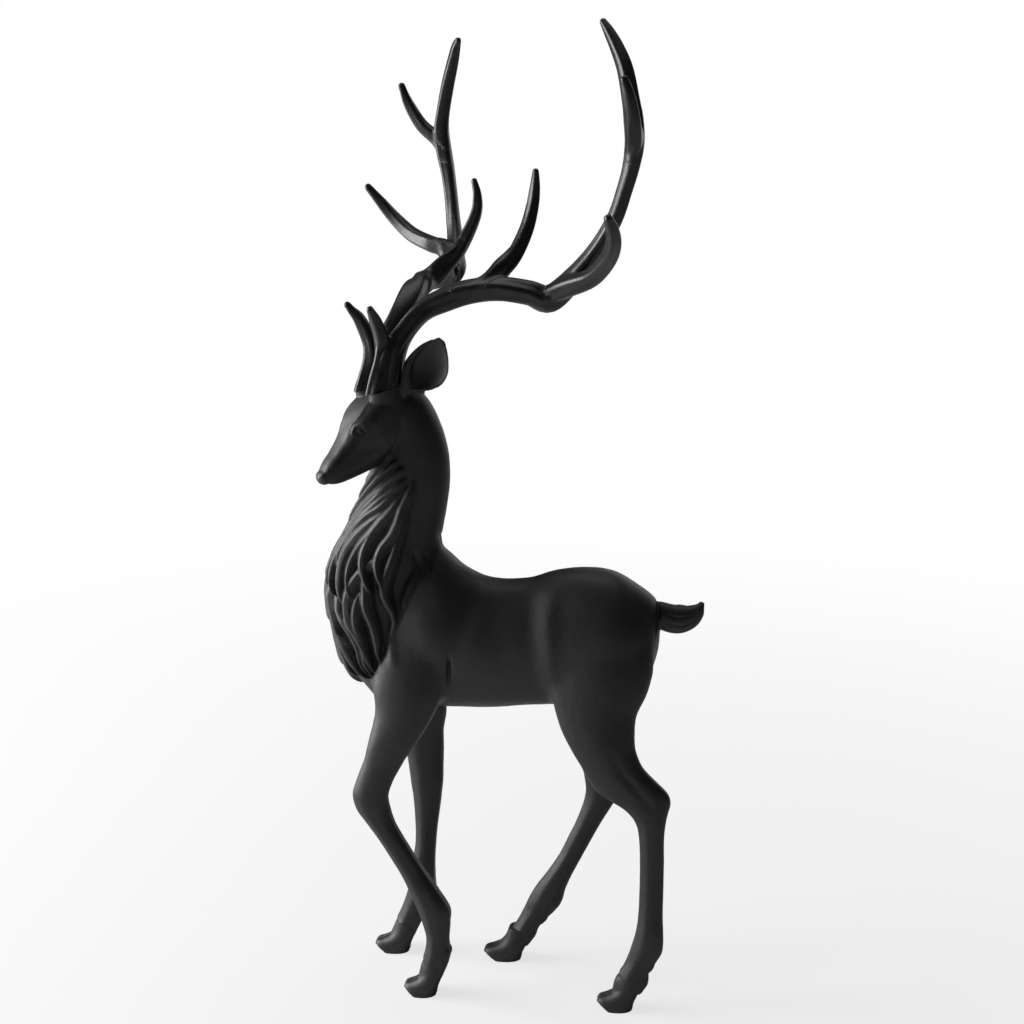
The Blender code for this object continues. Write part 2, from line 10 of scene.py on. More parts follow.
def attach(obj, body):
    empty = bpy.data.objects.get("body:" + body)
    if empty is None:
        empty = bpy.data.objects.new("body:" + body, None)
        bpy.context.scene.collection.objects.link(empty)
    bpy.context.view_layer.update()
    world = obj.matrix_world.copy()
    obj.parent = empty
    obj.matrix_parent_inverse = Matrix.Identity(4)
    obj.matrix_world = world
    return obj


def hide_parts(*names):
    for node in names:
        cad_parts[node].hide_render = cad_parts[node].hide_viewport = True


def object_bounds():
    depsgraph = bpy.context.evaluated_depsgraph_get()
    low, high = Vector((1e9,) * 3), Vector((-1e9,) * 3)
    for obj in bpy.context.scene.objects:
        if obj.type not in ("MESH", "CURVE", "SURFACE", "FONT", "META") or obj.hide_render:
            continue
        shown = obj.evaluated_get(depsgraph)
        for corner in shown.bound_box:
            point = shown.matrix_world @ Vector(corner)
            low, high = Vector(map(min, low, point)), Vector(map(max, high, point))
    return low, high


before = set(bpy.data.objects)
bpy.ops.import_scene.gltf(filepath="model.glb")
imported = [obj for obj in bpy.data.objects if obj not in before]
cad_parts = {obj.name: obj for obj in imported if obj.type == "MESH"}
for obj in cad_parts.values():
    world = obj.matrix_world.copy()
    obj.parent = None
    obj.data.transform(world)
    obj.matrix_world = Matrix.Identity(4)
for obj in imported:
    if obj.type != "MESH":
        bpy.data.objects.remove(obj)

cad_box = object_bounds()

# The view. The photograph looks at the stag's left side from eight degrees round toward the tail
# and from a little over its back, through a lens somewhat longer than a standard one.
CAMERA_PLACE = Vector((0.1266, -0.9218, 0.5193))
CAMERA_AIM = Vector((0.0020, -0.0468, 0.3153))
camera = bpy.data.objects.new("camera", bpy.data.cameras.new("camera"))
bpy.context.scene.collection.objects.link(camera)
camera.data.lens, camera.data.sensor_width = 52.5, 36
camera.location = CAMERA_PLACE
camera.rotation_euler = (CAMERA_AIM - CAMERA_PLACE).to_track_quat("-Z", "Y").to_euler()
bpy.context.scene.camera = camera
bpy.context.scene.view_settings.view_transform = "Standard"

# The floor and the light. White paper runs out to a white studio. One large soft lamp stands ahead
# of the stag, as high as its antlers, a weak one over the back and another behind it.
FLOOR_SIZE = 30
SHADOW_REACH = 1.3  # metres from the statue, beyond which the paper is seen as pure white
floor_form = bmesh.new()
bmesh.ops.create_grid(floor_form, x_segments=1, y_segments=1, size=FLOOR_SIZE / 2)
floor_mesh = bpy.data.meshes.new("floor")
floor_form.to_mesh(floor_mesh)
floor_form.free()
floor = bpy.data.objects.new("floor", floor_mesh)
bpy.context.scene.collection.objects.link(floor)
paper = bpy.data.materials.new("white paper")
paper.use_nodes = True
sheet = paper.node_tree
paper_shader = sheet.nodes["Principled BSDF"]
paper_shader.inputs["Base Color"].default_value = (0.75, 0.75, 0.75, 1)
paper_shader.inputs["Roughness"].default_value = 0.9
paper_shader.inputs["Specular IOR Level"].default_value = 0.1
glow = sheet.nodes.new("ShaderNodeEmission")
spot = sheet.nodes.new("ShaderNodeTexCoord")
spread = sheet.nodes.new("ShaderNodeVectorMath")
spread.operation = "LENGTH"
whitened = sheet.nodes.new("ShaderNodeMapRange")
whitened.interpolation_type = "SMOOTHSTEP"
for name, value in (("From Max", SHADOW_REACH), ("To Min", 0.72), ("To Max", 1.0)):
    whitened.inputs[name].default_value = value
seen = sheet.nodes.new("ShaderNodeLightPath")
share = sheet.nodes.new("ShaderNodeMath")
share.operation = "MULTIPLY"
both = sheet.nodes.new("ShaderNodeMixShader")
sheet.links.new(spot.outputs["Object"], spread.inputs[0])
sheet.links.new(spread.outputs["Value"], whitened.inputs["Value"])
sheet.links.new(whitened.outputs["Result"], share.inputs[0])
sheet.links.new(seen.outputs["Is Camera Ray"], share.inputs[1])
sheet.links.new(share.outputs[0], both.inputs[0])
sheet.links.new(paper_shader.outputs[0], both.inputs[1])
sheet.links.new(glow.outputs[0], both.inputs[2])
sheet.links.new(both.outputs[0], sheet.nodes["Material Output"].inputs["Surface"])
floor_mesh.materials.append(paper)


def lamp(name, place, aim, size, watts):
    light = bpy.data.lights.new(name, "AREA")
    light.shape, light.size, light.size_y = "RECTANGLE", *size
    light.energy = watts
    holder = bpy.data.objects.new(name, light)
    bpy.context.scene.collection.objects.link(holder)
    holder.location = place
    holder.rotation_euler = (Vector(aim) - Vector(place)).to_track_quat("-Z", "Y").to_euler()
    holder.visible_camera = False


MIDDLE = (0, 0, 0.3)
lamp("key", (-1.6, -0.12, 0.6), MIDDLE, (1.0, 1.7), 56)
lamp("top", (0.0, 0.3, 1.7), MIDDLE, (1.2, 0.8), 4.5)
lamp("behind", (0.7, 1.6, 0.7), MIDDLE, (1.6, 1.2), 6)

studio = bpy.data.worlds.new("studio")
bpy.context.scene.world = studio
studio.use_nodes = True
sky = studio.node_tree
room_light = sky.nodes["Background"]
room_light.inputs["Color"].default_value = (0.95, 0.975, 1, 1)
room_light.inputs["Strength"].default_value = 0.06
backdrop = sky.nodes.new("ShaderNodeBackground")
seen = sky.nodes.new("ShaderNodeLightPath")
either = sky.nodes.new("ShaderNodeMixShader")
backdrop.inputs["Color"].default_value = (1, 1, 1, 1)
sky.links.new(seen.outputs["Is Camera Ray"], either.inputs[0])
sky.links.new(room_light.outputs[0], either.inputs[1])
sky.links.new(backdrop.outputs[0], either.inputs[2])
sky.links.new(either.outputs[0], sky.nodes["World Output"].inputs["Surface"])

# The body is one casting: trunk, neck, head, ears, mane, legs, hooves and tail, poured in black
# resin from a hand-carved pattern and left matte. Its pose is written in thousandths of the
# statue's height, from the middle of the back, and it stands on its four soles.
HEIGHT = 0.600
UNIT = HEIGHT / 1000
ZERO = Vector((3.4, -69, 1.5)) * UNIT
CORE_VOXEL, CORE_SMOOTHING = 0.0012, 69
BODY_VOXEL, BODY_SMOOTHING = 0.00056, 2
BODY_FACES = 190000
LOOSE = 1e-6

HEAD_YAW, HEAD_PITCH = math.radians(42), math.radians(41)
POLL = Vector((-121, 0, 640))
AHEAD = Vector((-math.cos(HEAD_YAW), -math.sin(HEAD_YAW), 0))
LEFT = Vector((math.sin(HEAD_YAW), -math.cos(HEAD_YAW), 0))
UP = Vector((0, 0, 1))
NOSEWARD = math.cos(HEAD_PITCH) * AHEAD - math.sin(HEAD_PITCH) * UP
BROWWARD = math.sin(HEAD_PITCH) * AHEAD + math.cos(HEAD_PITCH) * UP


def in_between(rows, steps):
    """A smooth curve through rows of numbers, with steps points to each span."""
    rows = np.array(rows, float)
    ends = np.vstack([2 * rows[0] - rows[1], rows, 2 * rows[-1] - rows[-2]])
    out = []
    for i in range(1, len(ends) - 2):
        p, q, r, s = ends[i - 1 : i + 3]
        for t in np.arange(steps) / steps:
            bend, sway = 2 * p - 5 * q + 4 * r - s, 3 * q - p - 3 * r + s
            out.append(0.5 * (2 * q + (r - p) * t + bend * t**2 + sway * t**3))
    out.append(rows[-1])
    return np.array(out)


def planed(planes, crispness, count):
    """A ring as a carver planes it: flats at the given (degrees, distance), and soft corners."""
    turn = np.linspace(0, 2 * math.pi, count, endpoint=False)
    total = np.zeros(count)
    for degrees, distance in planes:
        facing = np.clip(np.cos(turn - math.radians(degrees)), 0, None)
        total += (facing / distance) ** crispness
    reach = total ** (-1 / crispness)
    return np.cos(turn) * reach, np.sin(turn) * reach


def both_sides(planes):
    """The planes of the left half with their mirror images on the right."""
    return planes + [(180 - degrees, far) for degrees, far in planes if degrees not in (90, -90)]


def round_ring(count):
    turn = np.linspace(0, 2 * math.pi, count, endpoint=False)
    return np.cos(turn), np.sin(turn)


ROUND = round_ring(40)


class Clay:
    """Closed skins that run into one another, in thousandths of the height."""

    def __init__(self):
        self.points, self.faces = [], []

    def skin(self, rings):
        """Closes a run of equal rings into one skin with a point at each end."""
        count, start = len(rings[0]), len(self.points)
        for ring in rings:
            self.points.extend(ring)
        for i in range(len(rings) - 1):
            for k in range(count):
                a, b = start + i * count + k, start + i * count + (k + 1) % count
                self.faces.append((a, b, b + count, a + count))
        for ring, at, turn in ((rings[0], 0, -1), (rings[-1], len(rings) - 1, 1)):
            middle = len(self.points)
            self.points.append(np.mean(ring, axis=0))
            for k in range(count):
                a, b = start + at * count + k, start + at * count + (k + 1) % count
                self.faces.append((a, b, middle)[::turn])

    def swept(self, middles, halves, side, ring=ROUND, steps=6):
        """A skin along a curved line, rounded off at both ends; each half is (along side, across)."""
        table = in_between([(*m, *h) for m, h in zip(middles, halves)], steps)
        run = np.gradient(table[:, :3], axis=0)
        run /= np.linalg.norm(run, axis=1)[:, None]
        rings = []
        for row, along in zip(table, run):
            one = np.array(side, float) - along * (np.array(side, float) @ along)
            one /= np.linalg.norm(one)
            two = np.cross(along, one)
            wave = np.outer(ring[0], one * row[3]) + np.outer(ring[1], two * row[4])
            rings.append((row[:3], along, wave, min(row[3], row[4])))
        done = [middle + wave for middle, _, wave, _ in rings]
        for back, (middle, along, wave, reach) in ((-1, rings[0]), (1, rings[-1])):
            cap = [
                middle + along * (back * reach * math.sin(a)) + wave * math.cos(a)
                for a in (0.35, 0.7, 1.0, 1.3)
            ]
            done = cap[::-1] + done if back < 0 else done + cap
        self.skin(done)

    def stacked(self, rows, rings=(ROUND, ROUND), steps=6, blend=(0, 1)):
        """A skin of level rings, from the first shape into the second between two heights.

        Each row is (height, x, y, half length, half width).
        """
        made = []
        for z, x, y, lx, ly in in_between(rows, steps):
            share = min(max((z - blend[0]) / (blend[1] - blend[0]), 0), 1)
            across, over = (one * (1 - share) + two * share for one, two in zip(*rings))
            made.append(np.column_stack([x + lx * across, y + ly * over, np.full(len(over), z)]))
        self.skin(made if rows[0][0] < rows[-1][0] else made[::-1])

    def sliced(self, rows, steps=6):
        """A skin of upright rings. Each row is (x, height, half width, half depth)."""
        self.skin(
            [
                np.column_stack([np.full(len(ROUND[0]), x), wide * ROUND[0], z + deep * ROUND[1]])
                for x, z, wide, deep in in_between(rows, steps)
            ]
        )

    def absorb(self, skin):
        """Takes in a mesh that is already in metres."""
        start = len(self.points)
        self.points.extend((v.co - ZERO) / UNIT for v in skin.vertices)
        self.faces.extend(tuple(start + k for k in face.vertices) for face in skin.polygons)

    def mesh(self, name):
        made = bpy.data.meshes.new(name)
        points = np.array(self.points, float) * UNIT + np.array(ZERO)
        made.from_pydata(points.tolist(), [], self.faces)
        return made


def applied(thing):
    """Keeps what the modifiers make, and clears them."""
    graph = bpy.context.evaluated_depsgraph_get()
    made = bpy.data.meshes.new_from_object(thing.evaluated_get(graph))
    thing.modifiers.clear()
    thing.data = made


def one_skin(name, mesh, voxel, smoothing):
    """An object with one skin made from the overlapping ones, and smoothed."""
    thing = bpy.data.objects.new(name, mesh)
    bpy.context.scene.collection.objects.link(thing)
    remesh = thing.modifiers.new("one skin", "REMESH")
    remesh.mode, remesh.voxel_size = "VOXEL", voxel
    smooth = thing.modifiers.new("smooth", "SMOOTH")
    smooth.factor, smooth.iterations = 0.5, smoothing
    applied(thing)
    return thing


def thinned(thing, faces):
    """Thins a skin to about this many triangles, with the fewest where it is plainest."""
    triangles = sum(len(face.vertices) - 2 for face in thing.data.polygons)
    thin = thing.modifiers.new("thin", "DECIMATE")
    thin.ratio = min(1, faces / triangles)
    applied(thing)


def cut_flat(thing, point, normal):
    """Takes off what lies behind a plane and closes the cut with one flat face."""
    form = bmesh.new()
    form.from_mesh(thing.data)
    everything = form.verts[:] + form.edges[:] + form.faces[:]
    bmesh.ops.bisect_plane(
        form, geom=everything, plane_co=point, plane_no=normal, clear_inner=True, dist=LOOSE
    )
    rim = [edge for edge in form.edges if edge.is_boundary]
    caps = bmesh.ops.holes_fill(form, edges=rim, sides=0)["faces"]
    bmesh.ops.triangulate(form, faces=caps)
    bmesh.ops.recalc_face_normals(form, faces=form.faces[:])
    form.to_mesh(thing.data)
    form.free()


# Trunk: along x, half width, top, bottom. Neck: height, middle x and y, half length, half width.
TRUNK = (
    (-150, 22, 436, 330),
    (-130, 37, 462, 316),
    (-100, 47, 482, 310),
    (-74, 49.5, 483, 310.5),
    (-52, 48.5, 464, 311),
    (-20, 47, 451.5, 312),
    (12, 45.5, 453, 316),
    (46, 47.5, 463, 319),
    (76, 50.5, 466.5, 322),
    (104, 50.5, 463.5, 328),
    (126, 45, 451, 336),
    (139, 36, 443, 348),
    (147, 25, 436, 368),
    (151.5, 12, 427, 386),
)
NECK = (
    (314, -130, 0, 14, 18),
    (332, -133, 0, 25, 27),
    (350, -136.5, 0, 37, 35),
    (378, -140.5, 0, 43, 40),
    (408, -141.5, 0, 48.5, 43),
    (436, -139.5, 0, 54, 44),
    (465, -131.5, 0, 56, 41.5),
    (495, -122.7, 0, 50.2, 37),
    (525, -112.5, -1, 45.7, 34),
    (552, -104.8, -2, 41, 31.5),
    (578, -99.3, -3, 34.8, 28.5),
    (603, -98, -4, 28, 26.5),
    (622, -102.5, -4, 24.8, 25.5),
    (636, -107.5, -4, 22.2, 22.5),
    (648, -111.5, -3, 13.5, 14.5),
)

# Legs: height, middle x, distance of the middle from the centre plane, half length, half width.
LEG_LEFT_FRONT = (
    (430, -84, 16, 20, 12),
    (400, -92, 26.5, 34, 17.5),
    (370, -99, 31.5, 40, 20),
    (340, -104, 36, 38.5, 19.5),
    (318, -107, 38.5, 33, 17.5),
    (300, -113, 40, 30, 16),
    (276, -123.5, 42, 26, 14),
    (255, -133, 42, 22.2, 12.5),
    (238, -140.5, 42, 19.5, 12.5),
    (222, -145, 42, 19.2, 12.5),
    (206, -142, 42, 18.5, 11.5),
    (190, -133.8, 42, 15.8, 10),
    (165, -118.3, 42, 13.9, 9.5),
    (140, -102.8, 42, 14.4, 10),
    (118, -89.2, 43, 16.4, 11.5),
    (98, -79.2, 43, 18.3, 12.5),
    (82, -76.6, 43, 15.6, 11.8),
    (62, -75, 43, 12.4, 11.2),
    (44, -75.6, 43, 14.2, 12.2),
    (30, -79.5, 43, 14.3, 12),
    (18, -84, 43, 12.7, 11),
)
LEG_RIGHT_FRONT = (
    (430, -84, 16, 20, 12),
    (400, -92, 26.5, 34, 17.5),
    (370, -99, 31.5, 40, 20),
    (340, -103, 36, 35, 19.5),
    (310, -104.6, 39, 28, 17),
    (285, -104.5, 41, 26.5, 15),
    (258, -104.3, 42, 23.3, 13),
    (222, -102.3, 42, 19.3, 12),
    (204, -101.6, 42, 18.1, 12),
    (186, -101.5, 42, 16, 11),
    (160, -102.3, 42, 13.3, 9.5),
    (132, -104, 42, 12, 9.5),
    (110, -106.2, 42, 12.8, 10.5),
    (90, -107.8, 43, 14.3, 12),
    (73, -109.4, 43, 16.2, 12.2),
    (58, -114.4, 43, 15.7, 11.5),
    (42, -121.5, 43, 15, 11.8),
    (28, -127.5, 43, 14.5, 12),
    (18, -132.5, 43, 14, 11),
)
LEG_LEFT_REAR = (
    (425, 99, 19, 34, 17),
    (400, 99, 24.5, 46, 22),
    (372, 96.5, 28.5, 51.5, 24),
    (345, 93, 32.5, 49.5, 23),
    (322, 90, 36, 42, 20.5),
    (304, 92.5, 39, 38.5, 18.5),
    (286, 98, 41, 35, 16.5),
    (268, 107.5, 42, 34, 15),
    (254, 118.3, 42, 36, 14),
    (242, 128.7, 42, 37.2, 13),
    (232, 137.2, 42, 31.4, 12.5),
    (222, 144.2, 42, 22.4, 12.5),
    (208, 148.5, 42, 15.6, 12),
    (190, 149.8, 42, 13.1, 10.5),
    (160, 150.8, 42, 12.7, 9.5),
    (130, 150.8, 42, 12.4, 9.5),
    (105, 150.5, 42, 13.2, 10.7),
    (86, 149.8, 43, 14.9, 12),
    (68, 147.3, 43, 17, 12.5),
    (56, 142.5, 43, 16, 11.5),
    (43, 136, 43, 14.9, 11.8),
    (30, 132.3, 43, 18, 12.5),
    (18, 127.5, 43, 15.9, 11.5),
)
LEG_RIGHT_REAR = (
    (425, 99, 19, 34, 17),
    (400, 99.5, 24.5, 47, 22),
    (372, 94, 28.5, 50, 24),
    (340, 83, 33.5, 40.5, 22.5),
    (312, 76.5, 37, 33.5, 19),
    (288, 76.5, 40, 28.5, 16.5),
    (266, 80.5, 42, 26.4, 15),
    (246, 89.4, 42, 25.9, 13.5),
    (230, 95.9, 42, 25.9, 12.5),
    (216, 95.4, 42, 22.4, 12.5),
    (203, 91.9, 42, 18.4, 12),
    (188, 86.4, 42, 16, 11.5),
    (166, 76.4, 42, 13.7, 10),
    (146, 66.9, 42, 13.2, 9.5),
    (126, 57.4, 42, 13, 9.5),
    (106, 46.4, 42, 14.2, 10.5),
    (88, 36.9, 43, 16.9, 12),
    (72, 30.4, 43, 19, 12.5),
    (60, 24.1, 43, 17.6, 11.5),
    (48, 15.3, 43, 14.6, 11.5),
    (38, 9.2, 43, 14.3, 12),
    (28, 4, 43, 16, 12.5),
    (16, -5, 43, 16.7, 11.5),
)
LEGS = (
    (LEG_LEFT_FRONT, -1),
    (LEG_RIGHT_FRONT, 1),
    (LEG_LEFT_REAR, -1),
    (LEG_RIGHT_REAR, 1),
)
THIGH_END, SHIN_TOP = 250, 290
THIGH_TAPER = 0.94, 0.7
MANE_INSET, INSET_HEIGHTS = 2.4, (330, 360, 530, 575)

core = Clay()
core.sliced([(x, (top + low) / 2, wide, (top - low) / 2) for x, wide, top, low in TRUNK])
under_mane = []  # the neck itself lies a little in from the bulk of the mane
for z, x, y, lx, ly in NECK:
    inset = MANE_INSET * float(np.interp(z, INSET_HEIGHTS, (0, 1, 1, 0)))
    under_mane.append((z, x + inset / 2, y, lx - inset, ly - inset))
core.stacked(under_mane)
for rows, side in LEGS:
    upper = [(z, x, side * y, lx, ly) for z, x, y, lx, ly in rows if z > THIGH_END]
    z, x, y, lx, ly = upper[-1]
    upper[-1] = (z, x, y, lx * THIGH_TAPER[0], ly * THIGH_TAPER[0])
    below, at, out, wide, _ = rows[len(upper)]
    upper.append((below, at, side * out, wide * THIGH_TAPER[1], ly * THIGH_TAPER[1]))
    core.stacked(upper)
blended = one_skin("core", core.mesh("core"), CORE_VOXEL, CORE_SMOOTHING)

clay = Clay()
clay.absorb(blended.data)
bpy.data.objects.remove(blended, do_unlink=True)

# The shins are planed: a flat down the outside, one on the front quarter and one behind.
SHIN_PLANES = planed(
    [(turn * side, far) for turn, far in ((0, 1), (48, 1.02), (90, 0.97), (137, 0.95)) for side in (1, -1)]
    + [(180, 1)],
    15,
    72,
)
SHIN_ROUND = round_ring(72)
SHIN_FADE = 196, 250  # heights between which the flats give way to the round thigh
SHIN_TAPER = 0.86, 0.96
for rows, side in LEGS:
    below = [(z, x, side * y, lx, ly) for z, x, y, lx, ly in rows if z < SHIN_TOP]
    for row, share in enumerate(SHIN_TAPER):
        z, x, y, lx, ly = below[row]
        below[row] = (z, x, y, lx * share, ly * share)
    clay.stacked(below, (SHIN_PLANES, SHIN_ROUND), blend=SHIN_FADE)

# One toe of a hoof: height, distance behind the tip of the sole, half length, half width. The sole
# turns up toward the tip. A hoof: x of the tip, side of the body, length against the toe's.
TOE = (
    (36, 35, 11.5, 9),
    (26, 33, 12, 10),
    (16, 28.7, 12.3, 10.6),
    (7, 23.2, 14.2, 11),
    (-2, 18.5, 17, 11.2),
    (-10, 16.3, 18, 11.2),
)
TOE_SPREAD, TOE_TURN, TOE_RISE = 2.8, 24, 6
HOOVES = (
    (-111, -43, 0.96),
    (-162.5, 43, 1.06),
    (97, -43, 1.02),
    (-37.5, 43, 1.13),
)
toe_top, toe_low = TOE[0][0], TOE[-1][0]
for tip, side, length in HOOVES:
    for spread in (-TOE_SPREAD, TOE_SPREAD):
        rows = [(z, tip + back * length, side + spread, lx * length, ly) for z, back, lx, ly in TOE]
        start = len(clay.points)
        clay.stacked(rows)
        toe = np.array(clay.points[start:])
        ahead = np.clip((tip + TOE_TURN * length - toe[:, 0]) / (TOE_TURN * length), 0, 1)
        toe[:, 2] += (toe_top - toe[:, 2]) / (toe_top - toe_low) * (TOE_RISE - toe_low) * ahead
        clay.points[start:] = toe

# Head: along its own line from the poll, lift of the middle, half depth, half width. The forehead
# and the bridge of the nose are one flat plane, with a crisp edge to the flat cheeks.
HEAD = (
    (-12, -4, 19, 23),
    (2, -3, 26, 28),
    (20, -6.3, 30.2, 28.5),
    (38, -8.2, 32.4, 27),
    (55, -10, 30, 22.5),
    (73, -9.8, 23.4, 17.5),
    (90, -8, 17.6, 14.5),
    (100, -6.2, 14.4, 12.8),
    (107, -4.6, 11.2, 11),
    (112, -3.2, 7.6, 8.6),
)
HEAD_PLANES = planed(both_sides([(2, 1), (52, 1.12), (90, 0.97), (-45, 1.04), (-90, 1)]), 13, 60)
clay.swept(
    [POLL + NOSEWARD * s + BROWWARD * lift for s, lift, _, _ in HEAD],
    [(wide, deep) for _, _, deep, wide in HEAD],
    LEFT,
    HEAD_PLANES,
)

# Tail: x, height, half width, half depth.
TAIL = (
    (132, 419, 14, 18),
    (148, 419.5, 11.5, 14),
    (164, 415.5, 11, 15),
    (174, 416.5, 11, 14.7),
    (183, 420, 9.5, 12),
    (189.5, 426, 7, 8),
    (192.5, 431, 4, 4),
)
clay.swept([(x, 0, z) for x, z, _, _ in TAIL], [(wide, deep) for _, _, wide, deep in TAIL], (0, 1, 0))

# Ear: along it from the root, half width, depth of the cup, thickness of the leather. Its stalk
# runs up into the front rim: along the ear, share of the way out to that rim, radius.
EAR = (
    (-8, 7.5, 3, 8),
    (4, 9.5, 6, 6.5),
    (15, 17.3, 10, 4.6),
    (28, 21.8, 11, 3.4),
    (42, 20, 9, 3),
    (54, 12.8, 5.5, 3),
    (63, 4.5, 1.5, 2.6),
)
EAR_RIM = ((-9, 0, 8.5), (5, 0.6, 7.4), (18, 0.92, 5.4), (32, 1, 3.2), (46, 1, 2), (56, 0.95, 1.1))
EAR_BEND = 1.45
RIM_FRONT, RIM_BACK = 0.84, 1.02  # the front rim is the straighter one
ear_rows = in_between(EAR, 6)
for side in (1, -1):
    root = POLL + LEFT * side * 24 + AHEAD + UP * 9
    along = (LEFT * side * 0.45 - AHEAD * 0.4 + UP * 0.8).normalized()
    open_way = AHEAD * 0.75 + LEFT * side * 0.62 - UP * 0.1
    open_way = (open_way - along * open_way.dot(along)).normalized()
    across = along.cross(open_way)
    bow = LEFT * side * 0.3 - AHEAD * 0.5 - UP * 0.8
    bow = (bow - along * bow.dot(along)).normalized() * 5.5

    def outside(s, wide, cup, angle):
        middle = root + along * s + bow * math.sin(math.pi * s / EAR[-1][0])
        wide *= RIM_FRONT if angle * side < 0 else RIM_BACK
        return middle + across * wide * math.sin(angle) + open_way * cup * (0.45 - math.cos(angle))

    bend = np.linspace(-EAR_BEND, EAR_BEND, 19)
    rings = []
    for s, wide, cup, thick in ear_rows:
        outer = [outside(s, wide, cup, b) for b in bend]
        inner = [
            outside(s, wide - thick * 0.6, cup * 0.85, b) + open_way * thick * math.cos(b * 0.83)
            for b in bend[::-1]
        ]
        rings.append(np.array([tuple(p) for p in outer + inner]))
    clay.skin(rings)
    middles = []
    for s, share, _ in EAR_RIM:
        wide, cup = (np.interp(s, ear_rows[:, 0], ear_rows[:, k]) for k in (1, 2))
        middles.append((root + along * s).lerp(outside(s, wide, cup, -side * EAR_BEND), share))
    clay.swept(middles, [(radius, radius) for *_, radius in EAR_RIM], open_way)


# Shapes that follow a path are made by trees of nodes. A Wire is a node's output that can be
# added, multiplied and so on, each as one Math node.
class Wire:
    def __init__(self, tree, socket):
        self.tree, self.socket = tree, socket

    def sum(self, operation, *others):
        node = self.tree.nodes.new("ShaderNodeMath")
        node.operation = operation
        for place, value in enumerate((self, *others)):
            if isinstance(value, Wire):
                self.tree.links.new(value.socket, node.inputs[place])
            else:
                node.inputs[place].default_value = value
        return Wire(self.tree, node.outputs[0])

    def __add__(self, other):
        return self.sum("ADD", other)

    def __sub__(self, other):
        return self.sum("SUBTRACT", other)

    def __mul__(self, other):
        return self.sum("MULTIPLY", other)

    def __truediv__(self, other):
        return self.sum("DIVIDE", other)

    def __pow__(self, other):
        return self.sum("POWER", other)

    def __abs__(self):
        return self.sum("ABSOLUTE")


def placed(tree, kind, settings=(), **sockets):
    """A new node with its settings, and its sockets set or linked; blanks are _ in their names."""
    node = tree.nodes.new(kind)
    for name, value in dict(settings).items():
        setattr(node, name, value)
    for name, value in sockets.items():
        socket = node.inputs[name.replace("_", " ")]
        if isinstance(value, Wire):
            tree.links.new(value.socket, socket)
        elif isinstance(value, bpy.types.NodeSocket):
            tree.links.new(value, socket)
        else:
            socket.default_value = value
    return node


def path_value(tree, name, kind="FLOAT"):
    """What a path or a ring carries under this name."""
    node = placed(tree, "GeometryNodeInputNamedAttribute", {"data_type": kind}, Name=name)
    return next(out for out in node.outputs if out.enabled and out.name == "Attribute")


def sweeping_tree(name, sizes, rule):
    """A tree that carries a ring along every path. The rule says how far the ring's points are
    sideways and outward, from the inputs of the tree, the path's values and the ring's turn."""
    tree = bpy.data.node_groups.new(name, "GeometryNodeTree")
    tree.interface.new_socket("Paths", in_out="INPUT", socket_type="NodeSocketGeometry")
    tree.interface.new_socket("Sides", in_out="INPUT", socket_type="NodeSocketInt")
    for label in sizes:
        tree.interface.new_socket(label, in_out="INPUT", socket_type="NodeSocketFloat")
    tree.interface.new_socket("Resin", in_out="INPUT", socket_type="NodeSocketMaterial")
    tree.interface.new_socket("Form", in_out="OUTPUT", socket_type="NodeSocketGeometry")
    given = tree.nodes.new("NodeGroupInput").outputs
    sides = Wire(tree, given["Sides"])
    lines = placed(tree, "GeometryNodeMeshToCurve", Mesh=given["Paths"]).outputs[0]
    where = placed(tree, "GeometryNodeInputPosition").outputs[0]
    lines = placed(
        tree,
        "GeometryNodeStoreNamedAttribute",
        {"data_type": "FLOAT_VECTOR"},
        Geometry=lines,
        Name="middle",
        Value=where,
    ).outputs[0]
    ring = placed(tree, "GeometryNodeCurvePrimitiveCircle", Resolution=given["Sides"]).outputs[0]
    turn = Wire(tree, placed(tree, "GeometryNodeInputIndex").outputs[0]) * (2 * math.pi) / sides
    ring = placed(
        tree, "GeometryNodeStoreNamedAttribute", Geometry=ring, Name="turn", Value=turn
    ).outputs[0]
    skin = placed(
        tree, "GeometryNodeCurveToMesh", Curve=lines, Profile_Curve=ring, Fill_Caps=True
    ).outputs[0]
    steps = rule(
        {label: Wire(tree, given[label]) for label in sizes},
        lambda value: Wire(tree, path_value(tree, value)),
        Wire(tree, path_value(tree, "turn")),
    )
    place = path_value(tree, "middle", "FLOAT_VECTOR")
    for way, step in zip(("side", "out"), steps):
        move = placed(
            tree, "ShaderNodeVectorMath", {"operation": "SCALE"},
            Vector=path_value(tree, way, "FLOAT_VECTOR"), Scale=step,
        ).outputs[0]
        both = tree.nodes.new("ShaderNodeVectorMath")
        tree.links.new(place, both.inputs[0])
        tree.links.new(move, both.inputs[1])
        place = both.outputs[0]
    skin = placed(tree, "GeometryNodeSetPosition", Geometry=skin, Position=place).outputs[0]
    skin = placed(tree, "GeometryNodeRealizeInstances", Geometry=skin).outputs[0]
    skin = placed(
        tree, "GeometryNodeSetMaterial", Geometry=skin, Material=given["Resin"]
    ).outputs[0]
    tree.links.new(skin, tree.nodes.new("NodeGroupOutput").inputs["Form"])
    return tree


